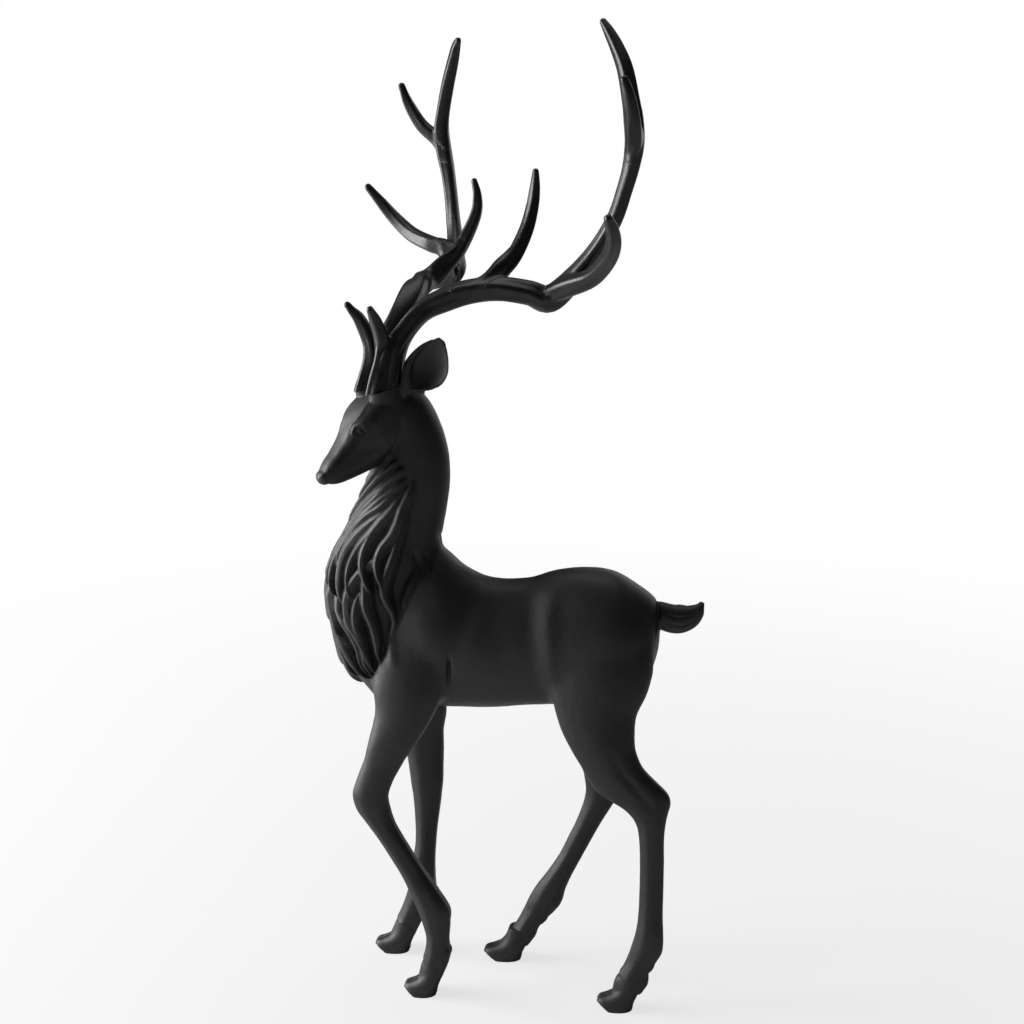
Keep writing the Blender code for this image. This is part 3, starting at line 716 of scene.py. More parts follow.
def path_mesh(name, paths):
    """Open lines of edges, in thousandths of the height, with each point's values as attributes.

    A path is a dict of equal rows: "at", "side" and "out" are points or directions.
    """
    mesh = bpy.data.meshes.new(name)
    count = [len(path["at"]) for path in paths]
    starts = np.cumsum([0] + count[:-1])
    edges = [(s + i, s + i + 1) for s, n in zip(starts, count) for i in range(n - 1)]
    mesh.from_pydata(np.concatenate([path["at"] for path in paths]).tolist(), edges, [])
    for key in paths[0]:
        if key == "at":
            continue
        values = np.concatenate([np.asarray(path[key], float) for path in paths])
        kind, slot = ("FLOAT_VECTOR", "vector") if values.ndim == 2 else ("FLOAT", "value")
        mesh.attributes.new(key, kind, "POINT").data.foreach_set(slot, values.ravel())
    return mesh


def swept_form(name, tree, mesh, material, **sizes):
    """What the tree makes of these paths, as a plain mesh."""
    thing = bpy.data.objects.new(name, mesh)
    bpy.context.scene.collection.objects.link(thing)
    nodes = thing.modifiers.new(name, "NODES")
    nodes.node_group = tree
    sockets = {item.name: item.identifier for item in tree.interface.items_tree}
    for label, value in (*sizes.items(), ("Resin", material)):
        nodes[sockets[label.replace("_", " ")]] = value
    applied(thing)
    made = thing.data
    bpy.data.objects.remove(thing, do_unlink=True)
    return made


# The mane is cut as long S-shaped ribbons that lie over one another like shingles. Each runs to a
# crisp edge between a face toward the front and a longer slope behind it, and its tip stands free.
# A ribbon is written along that edge: angle round the neck from the front, height; half width.
LOCKS = (
    ((133, 467), (128, 457), (126, 446), (125, 434), (127, 422), 4.2),
    ((105, 516), (102, 502), (101, 488), (100, 474), (99, 460), (101, 446), (107, 434), (115, 422),
     (118, 409), (115, 396), 6.8),
    ((101, 558), (98, 544), (94, 530), (94, 516), (92, 502), (86, 490), (85, 477), (90, 463),
     (98, 450), (101, 438), 7.2),
    ((92, 550), (85, 535), (78, 523), (71, 511), (67, 496), (67, 483), (71, 469), (79, 456),
     (88, 443), 7.6),
    ((80, 530), (75, 517), (68, 506), (60, 492), (56, 477), (57, 462), (62, 447), (70, 434), 6),
    ((79, 540), (70, 524), (58, 511), (46, 497), (40, 482), (42, 466), (48, 449), (55, 436),
     (63, 423), 7.6),
    ((94, 486), (84, 477), (72, 465), (65, 451), (62, 436), (62, 420), (65, 406), (74, 395),
     (80, 381), (85, 366), (91, 351), 7.2),
    ((74, 472), (77, 458), (82, 442), (86, 425), (93, 409), (97, 392), (98, 376), (102, 361), 6.6),
    ((79, 448), (74, 433), (72, 418), (73, 405), (78, 393), (79, 378), (79, 364), (86, 349), 5.6),
    ((38, 432), (45, 417), (55, 406), (66, 395), (72, 382), (72, 367), (76, 352), 6),
    ((22, 430), (24, 410), (34, 390), (48, 371), (60, 359), (74, 347), 6.6),
    ((84, 572), (75, 566), (64, 554), (46, 540), (26, 522), (14, 500), (13, 476), (18, 456),
     (22, 437), 6.2),
    ((89, 561), (79, 552), (62, 538), (46, 522), (31, 506), (25, 488), (25, 469), (31, 450),
     (39, 434), 6.2),
    ((80, 567), (71, 558), (60, 547), (45, 530), (27, 514), (14, 496), (7, 476), (9, 458), 5),
    ((85, 551), (75, 541), (64, 530), (49, 519), (38, 505), (32, 491), (32, 477), (37, 463), 5.2),
    ((68, 580), (56, 570), (40, 556), (24, 540), (10, 521), (4, 502), 4.6),
    ((52, 586), (40, 577), (26, 563), (13, 546), (5, 528), 4.4),
    ((34, 588), (22, 577), (11, 562), (4, 546), 4.4),
    ((14, 586), (7, 572), (3, 557), 4.4),
    ((4, 524), (1, 504), (1, 482), (5, 462), (12, 445), 7),
    ((15, 472), (8, 453), (6, 434), (10, 416), (20, 400), 7),
    ((31, 452), (26, 436), (26, 419), (33, 402), (44, 389), 6.8),
    ((10, 421), (7, 403), (10, 384), (19, 367), (31, 353), 7),
    ((25, 409), (21, 392), (27, 375), (39, 360), (52, 348), 6.4),
    ((3, 398), (1, 379), (5, 360), (13, 345), (22, 335), 6.4),
)
LOCK_HEIGHT, LOCK_BREADTH = 5.8, 1.25
LOCK_WIDTHS = ((0, 0.45), (0.12, 0.8), (0.4, 1), (0.72, 0.86), (0.9, 0.48), (1, 0.1))
LOCK_RISES = ((0, -0.3), (0.12, 0.45), (0.3, 0.85), (0.6, 0.95), (0.86, 1.12), (0.95, 0.85), (1, 0.2))
neck_rows = in_between(NECK, 12)


def on_neck(angle, height):
    """The point of the neck's skin at this angle from the front, and the way out of it."""
    x, y, lx, ly = (np.interp(height, neck_rows[:, 0], neck_rows[:, k]) for k in (1, 2, 3, 4))
    a = math.radians(angle)
    out = np.array([-math.cos(a) / lx, -math.sin(a) / ly, 0.0])
    return np.array([x - lx * math.cos(a), y - ly * math.sin(a), height]), out / np.linalg.norm(out)


def lock_path(path, half_width, side):
    line = in_between(path, 6)
    spots = [on_neck(angle * side, height) for angle, height in line]
    share = np.linspace(0, 1, len(spots))
    at, out = (np.array(rows) for rows in zip(*spots))
    run = np.gradient(at, axis=0)
    backward = np.cross(run, out) * -side
    backward /= np.linalg.norm(backward, axis=1)[:, None]
    return {
        "at": at,
        "side": backward,
        "out": out,
        "wide": half_width * LOCK_BREADTH * np.interp(share, *zip(*LOCK_WIDTHS)),
        "rise": LOCK_HEIGHT * np.interp(share, *zip(*LOCK_RISES)),
        "combed": np.sin(share * math.pi) ** 0.5,
    }


def lock_rule(sizes, path, turn):
    """A ribbon's section: a face toward the front, the crisp edge and a slope, both combed."""
    across, up = turn.sum("COSINE"), turn.sum("SINE")
    above = up.sum("MAXIMUM", 0.0)
    edge = sizes["Edge"]
    ahead = ((edge - across) / (edge + 1)).sum("MAXIMUM", 0.0)
    behind = ((across - edge) / (edge * -1 + 1)).sum("MAXIMUM", 0.0)
    ridge = (ahead ** sizes["Drop"]) * -1 - (behind ** sizes["Slope"]) + 1
    ridge = ridge.sum("MAXIMUM", 0.0) * up.sum("GREATER_THAN", 0.0)
    strand = abs((across * sizes["Strands"] * (math.pi / 2)).sum("SINE")) - 1
    combed = strand * sizes["Comb"] * path("combed") * (above ** 0.5)
    under = abs(up) * up.sum("LESS_THAN", 0.0) * -4
    return (across - edge) * path("wide"), ridge * (path("rise") + 4) + combed + under - 3


lock_tree = sweeping_tree("mane lock", ("Edge", "Drop", "Slope", "Strands", "Comb"), lock_rule)
matte_resin = bpy.data.materials.new("matte black resin")
lock_paths = [lock_path(path, width, side) for *path, width in LOCKS for side in (1, -1)]
lock_skin = swept_form(
    "locks", lock_tree, path_mesh("locks", lock_paths), matte_resin,
    Sides=56, Edge=-0.2, Drop=2.6, Slope=1.9, Strands=4.0, Comb=0.55,
)
for vertex in lock_skin.vertices:
    vertex.co = vertex.co * UNIT + ZERO
clay.absorb(lock_skin)

# The stump of the skull under each antler.
CROWN = Vector((-136, -16, 0))
SEAM_LIFT, SEAM_TILT = 10, math.radians(18)
SEAM_GAP = 0.0003
FOOT_OUT, FOOT_BACK = 13.8, 0.5
STUMP_DEPTH = 26
SEAT_FOOT, SEAT_TOP, SEAT_LEAN = (14.4, 21.5), (15.2, 25), (14.2, 9, 44)
SEAM_NORMAL = math.sin(SEAM_TILT) * AHEAD + math.cos(SEAM_TILT) * UP
SEAM_POINT = CROWN + (POLL.z + SEAM_LIFT) * UP
SEAM_BACK = math.sin(SEAM_TILT) * UP - math.cos(SEAM_TILT) * AHEAD


def foot_of(side):
    return SEAM_POINT + LEFT * side * FOOT_OUT + SEAM_BACK * FOOT_BACK


def on_antler(out, back, height, side):
    return SEAM_POINT + LEFT * side * out - AHEAD * back + UP * height


for side in (1, -1):
    middles = [foot_of(side) - SEAM_NORMAL * STUMP_DEPTH * share for share in (1, 0.4, -0.12)]
    clay.swept(middles, [(11.5, 15), (12.6, 17.2), (12.6, 17.2)], LEFT)

body = one_skin("stag_body", clay.mesh("stag_body"), BODY_VOXEL, BODY_SMOOTHING)


# The face needs finer points than the rest.
FACE_START, FACE_DEPTH, FACE_WIDTH = 34, 36, 27


def in_face(place):
    reach = (place - ZERO) / UNIT - POLL
    across, over = abs(reach.dot(LEFT)), abs(reach.dot(BROWWARD))
    return reach.dot(NOSEWARD) > FACE_START and over < FACE_DEPTH and across < FACE_WIDTH


form = bmesh.new()
form.from_mesh(body.data)
within = {vertex for vertex in form.verts if in_face(vertex.co)}
fine = [edge for edge in form.edges if edge.verts[0] in within and edge.verts[1] in within]
bmesh.ops.subdivide_edges(form, edges=fine, cuts=1, use_grid_fill=True)
form.to_mesh(body.data)
form.free()


# Carving. A stroke is a line over the skin, pressed in by its depth, or raised where that is
# negative, with soft flanks of this width. It fades out at both ends.
def read_skin(thing):
    """The points of a skin in thousandths, and the way that each one faces."""
    at, way = (np.empty(len(thing.data.vertices) * 3, "f") for _ in range(2))
    thing.data.vertices.foreach_get("co", at)
    thing.data.vertex_normals.foreach_get("vector", way)
    return (at.reshape(-1, 3) - np.array(ZERO)) / UNIT, way.reshape(-1, 3)


def write_skin(thing, at):
    """Moves the points of a skin, and keeps them a little inside the part's stated size."""
    low, high = (np.array(corner) for corner in cad_box)
    held = np.clip(at * UNIT + np.array(ZERO), low + INSET, high - INSET)
    held[:, 2] = np.where(at[:, 2] * UNIT + ZERO.z < INSET, at[:, 2] * UNIT + ZERO.z, held[:, 2])
    thing.data.vertices.foreach_set("co", held.astype("f").ravel())
    thing.data.update()


class Net:
    """The edges of a skin, which average each point's values with its neighbours'."""

    def __init__(self, thing):
        ends = np.empty(len(thing.data.edges) * 2, np.int32)
        thing.data.edges.foreach_get("vertices", ends)
        self.one, self.two = ends.reshape(-1, 2).T
        self.size = len(thing.data.vertices)
        self.count = 1 + np.bincount(ends, minlength=self.size)

    def averaged(self, values):
        columns = []
        for column in values.T:
            total = column + np.bincount(self.one, column[self.two], self.size)
            columns.append((total + np.bincount(self.two, column[self.one], self.size)) / self.count)
        return np.column_stack(columns)


INSET = 0.00015
KNEE_BLEND, KNEE_REACH = 264, 20  # height where thigh and shin run into each other
KNEE_ROUNDS = 45
skin_at, _ = read_skin(body)
net = Net(body)
blend = np.exp(-(((skin_at[:, 2] - KNEE_BLEND) / KNEE_REACH) ** 2))[:, None]
for _ in range(KNEE_ROUNDS):
    skin_at += (net.averaged(skin_at) - skin_at) * blend
write_skin(body, skin_at)
skin_at, skin_way = read_skin(body)


def touched(spot, toward):
    """Where a line that comes in from outside, through this spot, meets the skin."""
    toward = Vector(toward).normalized()
    hit, place, *_ = body.ray_cast((Vector(spot) - toward * 160) * UNIT + ZERO, toward)
    return tuple((place - ZERO) / UNIT) if hit else tuple(spot)


def stroke(line, width, depth):
    line = in_between(line, 8)
    length = np.concatenate([[0], np.cumsum(np.linalg.norm(np.diff(line, axis=0), axis=1))])
    marks = np.linspace(0, length[-1], max(4, int(length[-1] / width / 0.35)))
    line = np.column_stack([np.interp(marks, length, line[:, k]) for k in range(3)])
    run = np.gradient(line, axis=0)
    run /= np.linalg.norm(run, axis=1)[:, None]
    reach = 2.6 * width
    near = ((skin_at > line.min(0) - reach) & (skin_at < line.max(0) + reach)).all(1)
    near = np.flatnonzero(near)
    off = skin_at[near, None] - line[None]
    far = (off**2).sum(2)
    mark = far.argmin(1)
    rows = np.arange(len(near))
    slip = np.clip((off[rows, mark] * run[mark]).sum(1), -marks[1] / 2, marks[1] / 2)
    share = np.clip((mark * marks[1] + slip) / length[-1], 0.01, 0.99)
    pressed = depth * np.sin(share * math.pi) ** 0.7
    pressed *= np.exp(-(far[rows, mark] - slip**2) / width**2)
    skin_at[near] -= skin_way[near] * pressed[:, None]


# On the trunk and the thighs: width, depth, then (x, height) along it. Both sides carry the same.
TRUNK_STROKES = (
    (1.8, 3.6, (-59.5, 383), (-60, 366), (-61.5, 345)),  # slit behind the elbow
    (10, 1.8, (-32, 456), (-44, 420), (-55, 388), (-62, 348)),  # behind the shoulder blade
    (15, -1.8, (-86, 430), (-82, 402), (-78, 374)),  # muscle above the elbow
    (20, 1.4, (-12, 436), (-8, 400), (-12, 360)),  # ribs fall in
    (12, 2.2, (24, 456), (22, 408), (27, 366), (38, 326)),  # flank
    (9, -2, (44, 456), (43, 404), (46, 360), (54, 316)),  # front of the thigh
    (11, 1.8, (132, 404), (124, 362), (114, 322), (108, 292)),  # behind the thigh
    (2.4, 2.6, (147.5, 440), (150, 422), (147.5, 402)),  # root of the tail
    (3.4, 2.2, (-97, 486), (-95, 475), (-93, 462)),  # folds at the foot of the neck
    (3, 2, (-86, 482), (-83.5, 473), (-82, 462)),
    (3.4, 1.4, (-77, 500), (-73, 491), (-70, 482)),
    (6, -2.2, (-120, 412), (-121, 396), (-119, 380), (-116, 364)),  # point of the shoulder
)
for side in (1, -1):
    for width, depth, *line in TRUNK_STROKES:
        stroke([touched((x, 0, z), (0, side, 0)) for x, z in line], width, depth)

# On each leg, inside and outside: the groove before the tendon, from the knee or hock to the
# fetlock, and on the hind legs the hollow before the heel string.
for (rows, side), (top, low) in zip(LEGS, ((180, 112), (180, 88), (196, 84), (184, 98))):
    table = in_between(rows[::-1], 6)
    heel = rows in (LEG_LEFT_REAR, LEG_RIGHT_REAR)
    lines = [(2.6, 0.6, 0.34, np.linspace(top, low, 8))]
    lines += [(5, 1.5, 0.3, np.linspace(288, 224, 8))] if heel else []
    for width, depth, back, heights in lines:
        for outward in (1, -1):
            line = []
            for z in heights:
                x, y, lx, ly = (np.interp(z, table[:, 0], table[:, k]) for k in (1, 2, 3, 4))
                way = side * outward
                start = Vector((x + back * lx, side * y + way * 24, z))
                hit, place, *_ = body.ray_cast(start * UNIT + ZERO, Vector((0, -way, 0)))
                line.append(tuple((place - ZERO) / UNIT) if hit else tuple(start))
            stroke(line, width, depth)

# Round each hoof the wall ends in a notch under the coronet. The toes part in front.
CORONET = Vector((0.69, 0, 0.72))  # square to the plane of that line
for tip, side, length in HOOVES:
    off = skin_at - np.array((tip + 25 * length, side, 33))
    here = (abs(off[:, 1]) < 20) & (off[:, 0] > -30) & (off[:, 0] < 34) & (off[:, 2] < 22)
    d = off[here] @ np.array(CORONET)
    push = -0.7 * np.exp(-((d / 1.9) ** 2)) + 0.7 * np.exp(-(((d - 4.6) / 3) ** 2))
    push *= np.clip((10 - off[here, 0]) / 18, 0.2, 1)  # deepest in front
    skin_at[here] += skin_way[here] * push[:, None]
    line = [touched((tip + 30, side, z), (1, 0, 0)) for z in (28, 21, 14, 8, 3)]
    stroke(line, 0.8, 0.7)
    for spread in (-6, 6):  # dewclaws
        line = [touched((tip, side + spread, z), (-1, 0, 0)) for z in (54, 48, 43)]
        stroke(line, 2.6, -1.8)

# On the head, both cheeks: width, depth, then (along from the poll, lift).
HEAD_STROKES = (
    (5, 1.1, (53, 11), (58, 11), (63, 8.5)),  # socket
    (2.8, -1, (56, 10.6), (58, 10.2), (60, 9.8)),  # eyeball
    (1.4, -0.7, (50, 12.4), (54, 15), (58.5, 15.6), (63, 13.4), (66.5, 9.8)),  # upper lid
    (1.2, -0.3, (51, 9), (55, 6.4), (59.5, 5.6), (64, 7)),  # lower lid
    (1, 0.4, (51, 11.6), (54.5, 13.3), (58.5, 13.7), (62.5, 11.4)),
    (1.6, 0.35, (65, 8.2), (70, 5), (76, 2)),  # tear duct
    (2.4, -0.9, (18, 22), (30, 22), (46, 20.5), (60, 17), (72, 11)),  # brow
    (6, 0.8, (70, 2), (64, -8), (55, -17), (47, -24)),  # before the jaw muscle
    (8, -0.9, (52, -4), (46, -10), (42, -16)),
    (4, 0.5, (74, 6), (84, 3), (94, 1)),  # below the bridge of the nose
    (1.3, 0.6, (103, 0.6), (105, 1.6), (107.4, 1)),  # nostril
    (1.1, 0.5, (109, -6), (103, -9.5), (95, -12.5), (86, -14.5)),  # mouth
)
for side in (1, -1):
    for width, depth, *line in HEAD_STROKES:
        spots = [POLL + NOSEWARD * s + BROWWARD * lift for s, lift in line]
        stroke([touched(spot, LEFT * -side) for spot in spots], width, depth)

# Hair cut along the tail, and the slight unevenness of a surface that was finished by hand.
TAIL_STROKES = (
    ((156, 424), (168, 420), (180, 422), (190, 430)),
    ((155, 416), (168, 411), (181, 414), (191, 425)),
    ((156, 409), (168, 404), (180, 407), (189, 418)),
)
for side in (1, -1):
    for line in TAIL_STROKES:
        stroke([touched((x, 0, z), (0, side, 0)) for x, z in line], 1.3, 1.1)
UNEVEN = ((0.035, 0.45), (0.11, 0.14))  # waves to a thousandth of the height, swing
swing = np.zeros(len(skin_at))
for rate, depth in UNEVEN:
    swing += [depth * noise.noise(Vector(p) * rate) for p in skin_at.tolist()]
skin_at += skin_way * swing[:, None]
write_skin(body, skin_at)
thinned(body, BODY_FACES)
cut_flat(body, (0, 0, 0), (0, 0, 1))
for side in (1, -1):
    foot, top = foot_of(side), on_antler(*SEAT_LEAN, side)
    plug = Clay()
    plug.skin(
        [
            np.array(p) + np.outer(ROUND[0], LEFT * wide) + np.outer(ROUND[1], SEAM_BACK * long)
            for p, (wide, long) in ((foot, SEAT_FOOT), (top, SEAT_TOP))
        ]
    )
    tool = bpy.data.objects.new("seat", plug.mesh("seat"))
    bpy.context.scene.collection.objects.link(tool)
    form = bmesh.new()
    form.from_mesh(tool.data)
    bmesh.ops.recalc_face_normals(form, faces=form.faces[:])
    form.to_mesh(tool.data)
    form.free()
    cut = body.modifiers.new("seat", "BOOLEAN")
    cut.operation, cut.solver, cut.object = "DIFFERENCE", "EXACT", tool
    applied(body)
    bpy.data.objects.remove(tool, do_unlink=True)


def wear_and_shade_masks(thing):
    """Stores how far each point stands out as an edge (rubbed wear) and lies in a hollow (painted shade).
    """
    at, way = read_skin(thing)
    net = Net(thing)
    smooth = at
    for _ in range(SMOOTH_ROUNDS):
        smooth = net.averaged(smooth)
    proud = ((at - smooth) * way).sum(1)[:, None]
    proud = net.averaged(net.averaged(proud))[:, 0] / PROUD_FULL
    for name, values in (("edge", proud), ("hollow", -proud)):
        held = thing.data.attributes.new(name, "FLOAT", "POINT")
        held.data.foreach_set("value", np.clip(values, 0, 1).astype("f"))


SMOOTH_ROUNDS, PROUD_FULL = 9, 1.1
wear_and_shade_masks(body)


def nearest_path(thing, paths, reach):
    """For each point of a skin its place against the nearest path: across it, out, along it."""
    at, _ = read_skin(thing)
    tree = KDTree(sum(len(path["at"]) for path in paths))
    marks = []
    for number, path in enumerate(paths):
        along = np.cumsum(np.linalg.norm(np.diff(path["at"], axis=0, prepend=path["at"][:1]), axis=1))
        for k, spot in enumerate(path["at"]):
            tree.insert(spot, len(marks))
            marks.append((*spot, *path["side"][k], *path["out"][k], along[k] + number * 400))
    tree.balance()
    marks = np.array(marks)
    found = [tree.find(p)[1:] for p in at.tolist()]
    row = marks[[index for index, _ in found]]
    off = at - row[:, :3]
    place = np.column_stack([(off * row[:, 3:6]).sum(1), (off * row[:, 6:9]).sum(1), row[:, 9]])
    near = np.clip(1.5 - np.array([far for _, far in found]) / reach, 0, 1)
    held = thing.data.attributes.new("place", "FLOAT_VECTOR", "POINT")
    held.data.foreach_set("vector", place.astype("f").ravel())
    held = thing.data.attributes.new("near", "FLOAT", "POINT")
    held.data.foreach_set("value", near.astype("f"))


nearest_path(body, lock_paths, 12)


# The resin's surface, for both materials. Cast grain and a faint cloud in the colour, edges that
# handling has rubbed, and hollows that are duller and painted darker, as painted shade.
def shader_group(name, inputs, outputs):
    tree = bpy.data.node_groups.new(name, "ShaderNodeTree")
    for label, kind in inputs:
        tree.interface.new_socket(label, in_out="INPUT", socket_type=kind)
    for label, kind in outputs:
        tree.interface.new_socket(label, in_out="OUTPUT", socket_type=kind)
    return tree, tree.nodes.new("NodeGroupInput").outputs, tree.nodes.new("NodeGroupOutput").inputs


FLOAT, COLOUR, VECTOR = "NodeSocketFloat", "NodeSocketColor", "NodeSocketVector"
skin_tree, given, made = shader_group(
    "cast resin",
    (("Grey", FLOAT), ("Rubbed grey", FLOAT), ("Dullness", FLOAT), ("Relief", VECTOR)),
    (("Colour", COLOUR), ("Roughness", FLOAT), ("Normal", VECTOR)),
)
CLOUD, SPECK, GRAIN = 16, 330, 1500  # waves to the metre
place = placed(skin_tree, "ShaderNodeTexCoord").outputs["Object"]
cloud, speck, grain = (
    Wire(
        skin_tree,
        placed(skin_tree, "ShaderNodeTexNoise", Vector=place, Scale=scale, Detail=detail).outputs[0],
    )
    for scale, detail in ((CLOUD, 3.0), (SPECK, 2.0), (GRAIN, 1.0))
)
edge, hollow = (
    Wire(skin_tree, placed(skin_tree, "ShaderNodeAttribute", {"attribute_name": name}).outputs["Fac"])
    for name in ("edge", "hollow")
)
rubbed = edge * 0.9 + (cloud - 0.5) * 0.9 + (speck - 0.5) * 0.5 - 0.3
rubbed = rubbed.sum("MAXIMUM", 0.0).sum("MINIMUM", 1.0)
grey, dull = Wire(skin_tree, given["Grey"]), Wire(skin_tree, given["Dullness"])
# Hollows are painted darker here: painted shade in the recesses of the carving.
shade = grey * (cloud * 0.5 + 0.72) * (speck * 0.24 + 0.88) * (hollow * -0.2 + 1)
shade = shade + (Wire(skin_tree, given["Rubbed grey"]) - grey) * rubbed
tone = placed(skin_tree, "ShaderNodeCombineColor", Red=shade * 0.97, Green=shade, Blue=shade * 1.05)
skin_tree.links.new(tone.outputs[0], made["Colour"])
rough = dull + (speck - 0.5) * 0.14 + (cloud - 0.5) * 0.12 - rubbed * 0.08 + hollow * 0.08
skin_tree.links.new(rough.socket, made["Roughness"])
relief = placed(
    skin_tree, "ShaderNodeBump",
    Height=speck * 0.75 + grain * 0.25, Strength=0.5, Distance=0.00022, Normal=given["Relief"],
)
skin_tree.links.new(relief.outputs[0], made["Normal"])


def resin_shader(material, grey, rubbed_grey, dullness, relief):
    """Wires a material: the shared surface, over the piece's own relief."""
    material.use_nodes = True
    tree = material.node_tree
    surface = placed(
        tree, "ShaderNodeGroup", {"node_tree": skin_tree},
        Grey=grey, Rubbed_grey=rubbed_grey, Dullness=dullness, Relief=relief(tree),
    )
    shader = tree.nodes["Principled BSDF"]
    for out, into in (("Colour", "Base Color"), ("Roughness", "Roughness"), ("Normal", "Normal")):
        tree.links.new(surface.outputs[out], shader.inputs[into])


def lined(tree, across, up, along, depth):
    """Fine lines that run with the nearest path, as relief, where that path is near."""
    at = placed(tree, "ShaderNodeAttribute", {"attribute_name": "place"}).outputs["Vector"]
    near = Wire(tree, placed(tree, "ShaderNodeAttribute", {"attribute_name": "near"}).outputs["Fac"])
    drawn = placed(tree, "ShaderNodeVectorMath", {"operation": "MULTIPLY"})
    tree.links.new(at, drawn.inputs[0])
    drawn.inputs[1].default_value = (across, up, along)
    lines = placed(tree, "ShaderNodeTexNoise", Vector=drawn.outputs[0], Scale=1.0, Detail=2.0)
    height = Wire(tree, lines.outputs[0]) * near
    return placed(tree, "ShaderNodeBump", Height=height, Strength=0.6, Distance=depth).outputs[0]


resin_shader(matte_resin, 0.0165, 0.028, 0.5, lambda tree: lined(tree, 0.6, 0, 0.03, 0.00022))
body.data.materials.clear()
body.data.materials.append(matte_resin)
body.data.shade_smooth()
body.data.set_sharp_from_angle(angle=math.radians(65))
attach(body, "root")
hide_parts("body")

# The antlers are two castings in the same black resin, rubbed up to a satin. Each is glued to its
# flat seat on the crown, where a thin seam shows. A branch is written from that seat: distance out
# from the centre plane of the head, distance back, height of the left and of the right, radius.
BEAM = (
    (14, 0.5, -22, -22, 11.8),
    (13.8, 5.6, 2, 0, 12),
    (13.7, 13.6, 36, 32, 12.2),
    (15.2, 26.5, 56.5, 53, 10.8),
    (21.8, 42.5, 75, 71, 11.2),
    (33, 61, 86, 85.5, 12.3),
    (47, 81, 94, 95.5, 12),
    (65, 104, 97, 99.5, 11.5),
    (80, 130, 92.7, 99.5, 11.5),
    (91, 147.6, 87, 105, 12.6),
    (112, 162.5, 109, 119, 10.3),
    (131, 174.8, 136, 137, 8.2),
    (148, 183, 166, 159, 7.4),
    (158, 186.6, 193, 184, 7.2),
    (166, 187.8, 215, 209, 7.7),
    (172.3, 186.5, 237, 233, 9),
    (173, 184.2, 257, 255, 8.9),
    (169, 184, 274, 274, 8),
    (159, 184.3, 303, 303, 7.4),
    (146.6, 183.5, 324, 327, 6.4),
    (136.4, 181.5, 339, 342, 5),
    (129.5, 180, 348, 348, 3.4),
)
TINES = (
    (  # the broad base that the brow tine and the beam both grow from
        (13, -6, -22, -22, 9),
        (12.6, 0, 4, 2, 10),
        (12.4, 4, 24, 22, 10.5),
        (12.4, 7.4, 38, 35, 9.4),
        (13, 8.4, 46, 43, 7),
    ),
    (  # brow tine
        (13, -15, -22, -22, 7),
        (12.6, -10.5, -4, -4, 7.6),
        (12, -5.5, 10, 8, 8.2),
        (11.4, -0.5, 26, 22, 8),
        (11.2, 1, 40, 37, 7.6),
        (13.4, -1.6, 52, 50, 7.2),
        (16.8, -9, 67.5, 67, 6),
        (20.9, -14.6, 75, 75, 4.6),
        (23.4, -18.2, 79.5, 80.5, 3.6),
    ),
    (  # second tine
        (57, 90, 91, 92, 6),
        (57, 101, 101, 99, 9.4),
        (54.8, 114.7, 114, 112, 9),
        (55, 129.6, 129, 125, 8),
        (54, 144.2, 153, 147, 7),
        (52, 153, 176, 168, 6.1),
        (53.4, 155, 194, 185, 5),
        (57, 153.5, 210, 200, 3.2),
    ),
    (  # the web in the fork below the second tine
        (50, 76, 98, 99, 4),
        (54, 88, 103, 103, 5.2),
        (56, 100, 110, 109, 6),
        (55.4, 111, 119, 117, 6),
        (55, 122, 127, 124, 5.6),
        (54.6, 133, 137, 133, 4.6),
    ),
    (  # third tine, which curls outward
        (88, 146, 89, 107, 9.5),
        (115, 151.5, 99.5, 126.5, 10.4),
        (149, 155.6, 111, 130.3, 9),
        (181, 149.4, 129, 139.8, 8.1),
        (202.5, 139.6, 144.5, 157, 7.2),
        (216, 127.8, 159, 176.5, 6.1),
        (224, 117, 169, 192, 4.2),
    ),
    (  # fourth tine, the lesser arm of the top fork
        (170, 186.8, 224, 226, 6),
        (178, 182, 240, 244, 8.2),
        (191, 169, 257, 260.5, 7),
        (199, 157, 277, 284, 5.8),
        (201.5, 150, 291, 302.5, 4),
    ),
)
ANTLER_VOXEL, ANTLER_SMOOTHING, ANTLER_FACES = 0.00042, 2, 80000
FORK_REACH, FORK_ROUNDS = 15, 40  # how far each fork is worked smooth, and how often


def branch_path(branch, side):
    table = in_between(
        [
            (*on_antler(out, back, left if side > 0 else right, side), radius)
            for out, back, left, right, radius in branch
        ],
        6,
    )
    at, radius = table[:, :3], table[:, 3]
    run = np.gradient(at, axis=0)
    run /= np.linalg.norm(run, axis=1)[:, None]
    tips = []
    for end, back in ((0, -1), (-1, 1)):
        angles = (1.25, 0.8, 0.4) if back < 0 else (0.4, 0.8, 1.25)
        spots = [at[end] + run[end] * back * radius[end] * math.sin(a) for a in angles]
        tips.append((spots, [radius[end] * math.cos(a) for a in angles]))
    at = np.vstack([tips[0][0], at, tips[1][0]])
    radius = np.concatenate([tips[0][1], radius, tips[1][1]])
    run = np.vstack([[run[0]] * 3, run, [run[-1]] * 3])
    sideways = np.array((0.3, 0.9, 0.2)) - run * (run @ np.array((0.3, 0.9, 0.2)))[:, None]
    sideways /= np.linalg.norm(sideways, axis=1)[:, None]
    share = np.linspace(0, 1, len(at))
    return {
        "at": at,
        "side": sideways,
        "out": np.cross(run, sideways),
        "thick": radius,
        "fluted": np.clip(1.1 - share * 3.4, 0.22, 1),
        "twist": 0.5 * np.sin(share * 5 + side) + 0.25,
    }


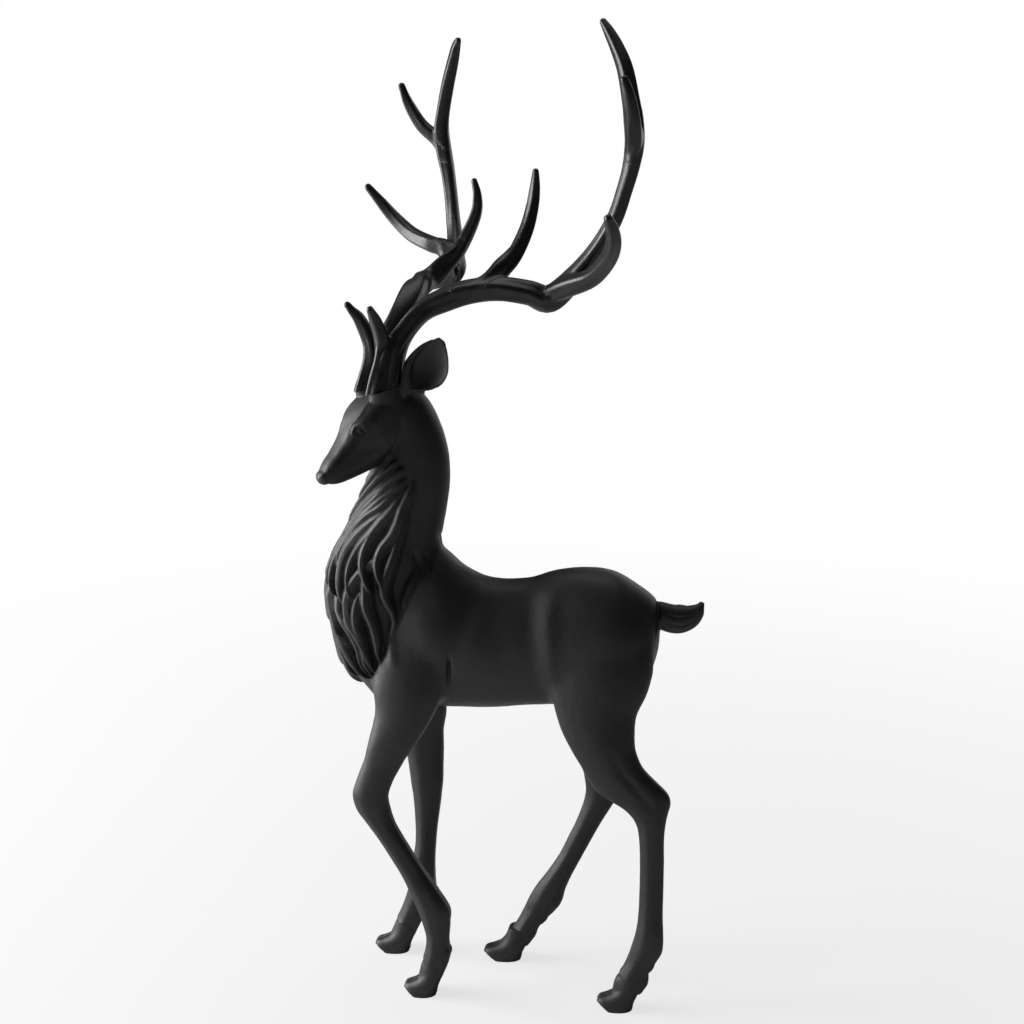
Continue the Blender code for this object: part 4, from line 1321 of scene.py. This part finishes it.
def branch_rule(sizes, path, turn):
    """A branch's section: four soft flats, and flutes where it is fluted."""
    facing = turn + sizes["Roll"] + path("twist")
    crisp = sizes["Crispness"]
    total = (abs(facing.sum("COSINE")) ** crisp) + (abs(facing.sum("SINE")) ** crisp)
    reach = (total ** (crisp ** -1.0 * -1)) * sizes["Girth"]
    flute = (abs((turn * sizes["Flutes"] / 2).sum("SINE")) - 1) * sizes["Flute depth"]
    reach = reach * (flute * path("fluted") + 1) * path("thick")
    return turn.sum("COSINE") * reach, turn.sum("SINE") * reach


branch_tree = sweeping_tree(
    "antler branch", ("Roll", "Crispness", "Girth", "Flutes", "Flute depth"), branch_rule
)
satin_resin = bpy.data.materials.new("satin black resin")
for name, node, side in (("left_antler", "antler_left", 1), ("right_antler", "antler_right", -1)):
    paths = [branch_path(branch, side) for branch in (BEAM, *TINES)]
    skin = swept_form(
        name, branch_tree, path_mesh(name, paths), satin_resin,
        Sides=48, Roll=math.pi / 4, Crispness=3.6, Girth=0.95, Flutes=6.0, Flute_depth=0.16,
    )
    for vertex in skin.vertices:
        vertex.co = vertex.co * UNIT + ZERO
    antler = one_skin(name, skin, ANTLER_VOXEL, ANTLER_SMOOTHING)
    antler_at, _ = read_skin(antler)
    net = Net(antler)
    for out, back, left, right, _ in (branch[1] for branch in TINES[2:]):
        fork = np.array(on_antler(out, back, left if side > 0 else right, side))
        blend = np.exp(-((antler_at - fork) ** 2).sum(1) / FORK_REACH**2)[:, None]
        for _ in range(FORK_ROUNDS):
            antler_at += (net.averaged(antler_at) - antler_at) * blend
    write_skin(antler, antler_at)
    thinned(antler, ANTLER_FACES)
    cut_flat(antler, SEAM_POINT * UNIT + ZERO + SEAM_NORMAL * SEAM_GAP, SEAM_NORMAL)
    wear_and_shade_masks(antler)
    nearest_path(antler, paths, 30)
    antler.data.materials.clear()
    antler.data.materials.append(satin_resin)
    antler.data.shade_smooth()
    antler.data.set_sharp_from_angle(angle=math.radians(65))
    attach(antler, "root")
    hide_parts(node)


resin_shader(satin_resin, 0.012, 0.035, 0.36, lambda tree: lined(tree, 0.35, 0.35, 0.02, 0.0003))
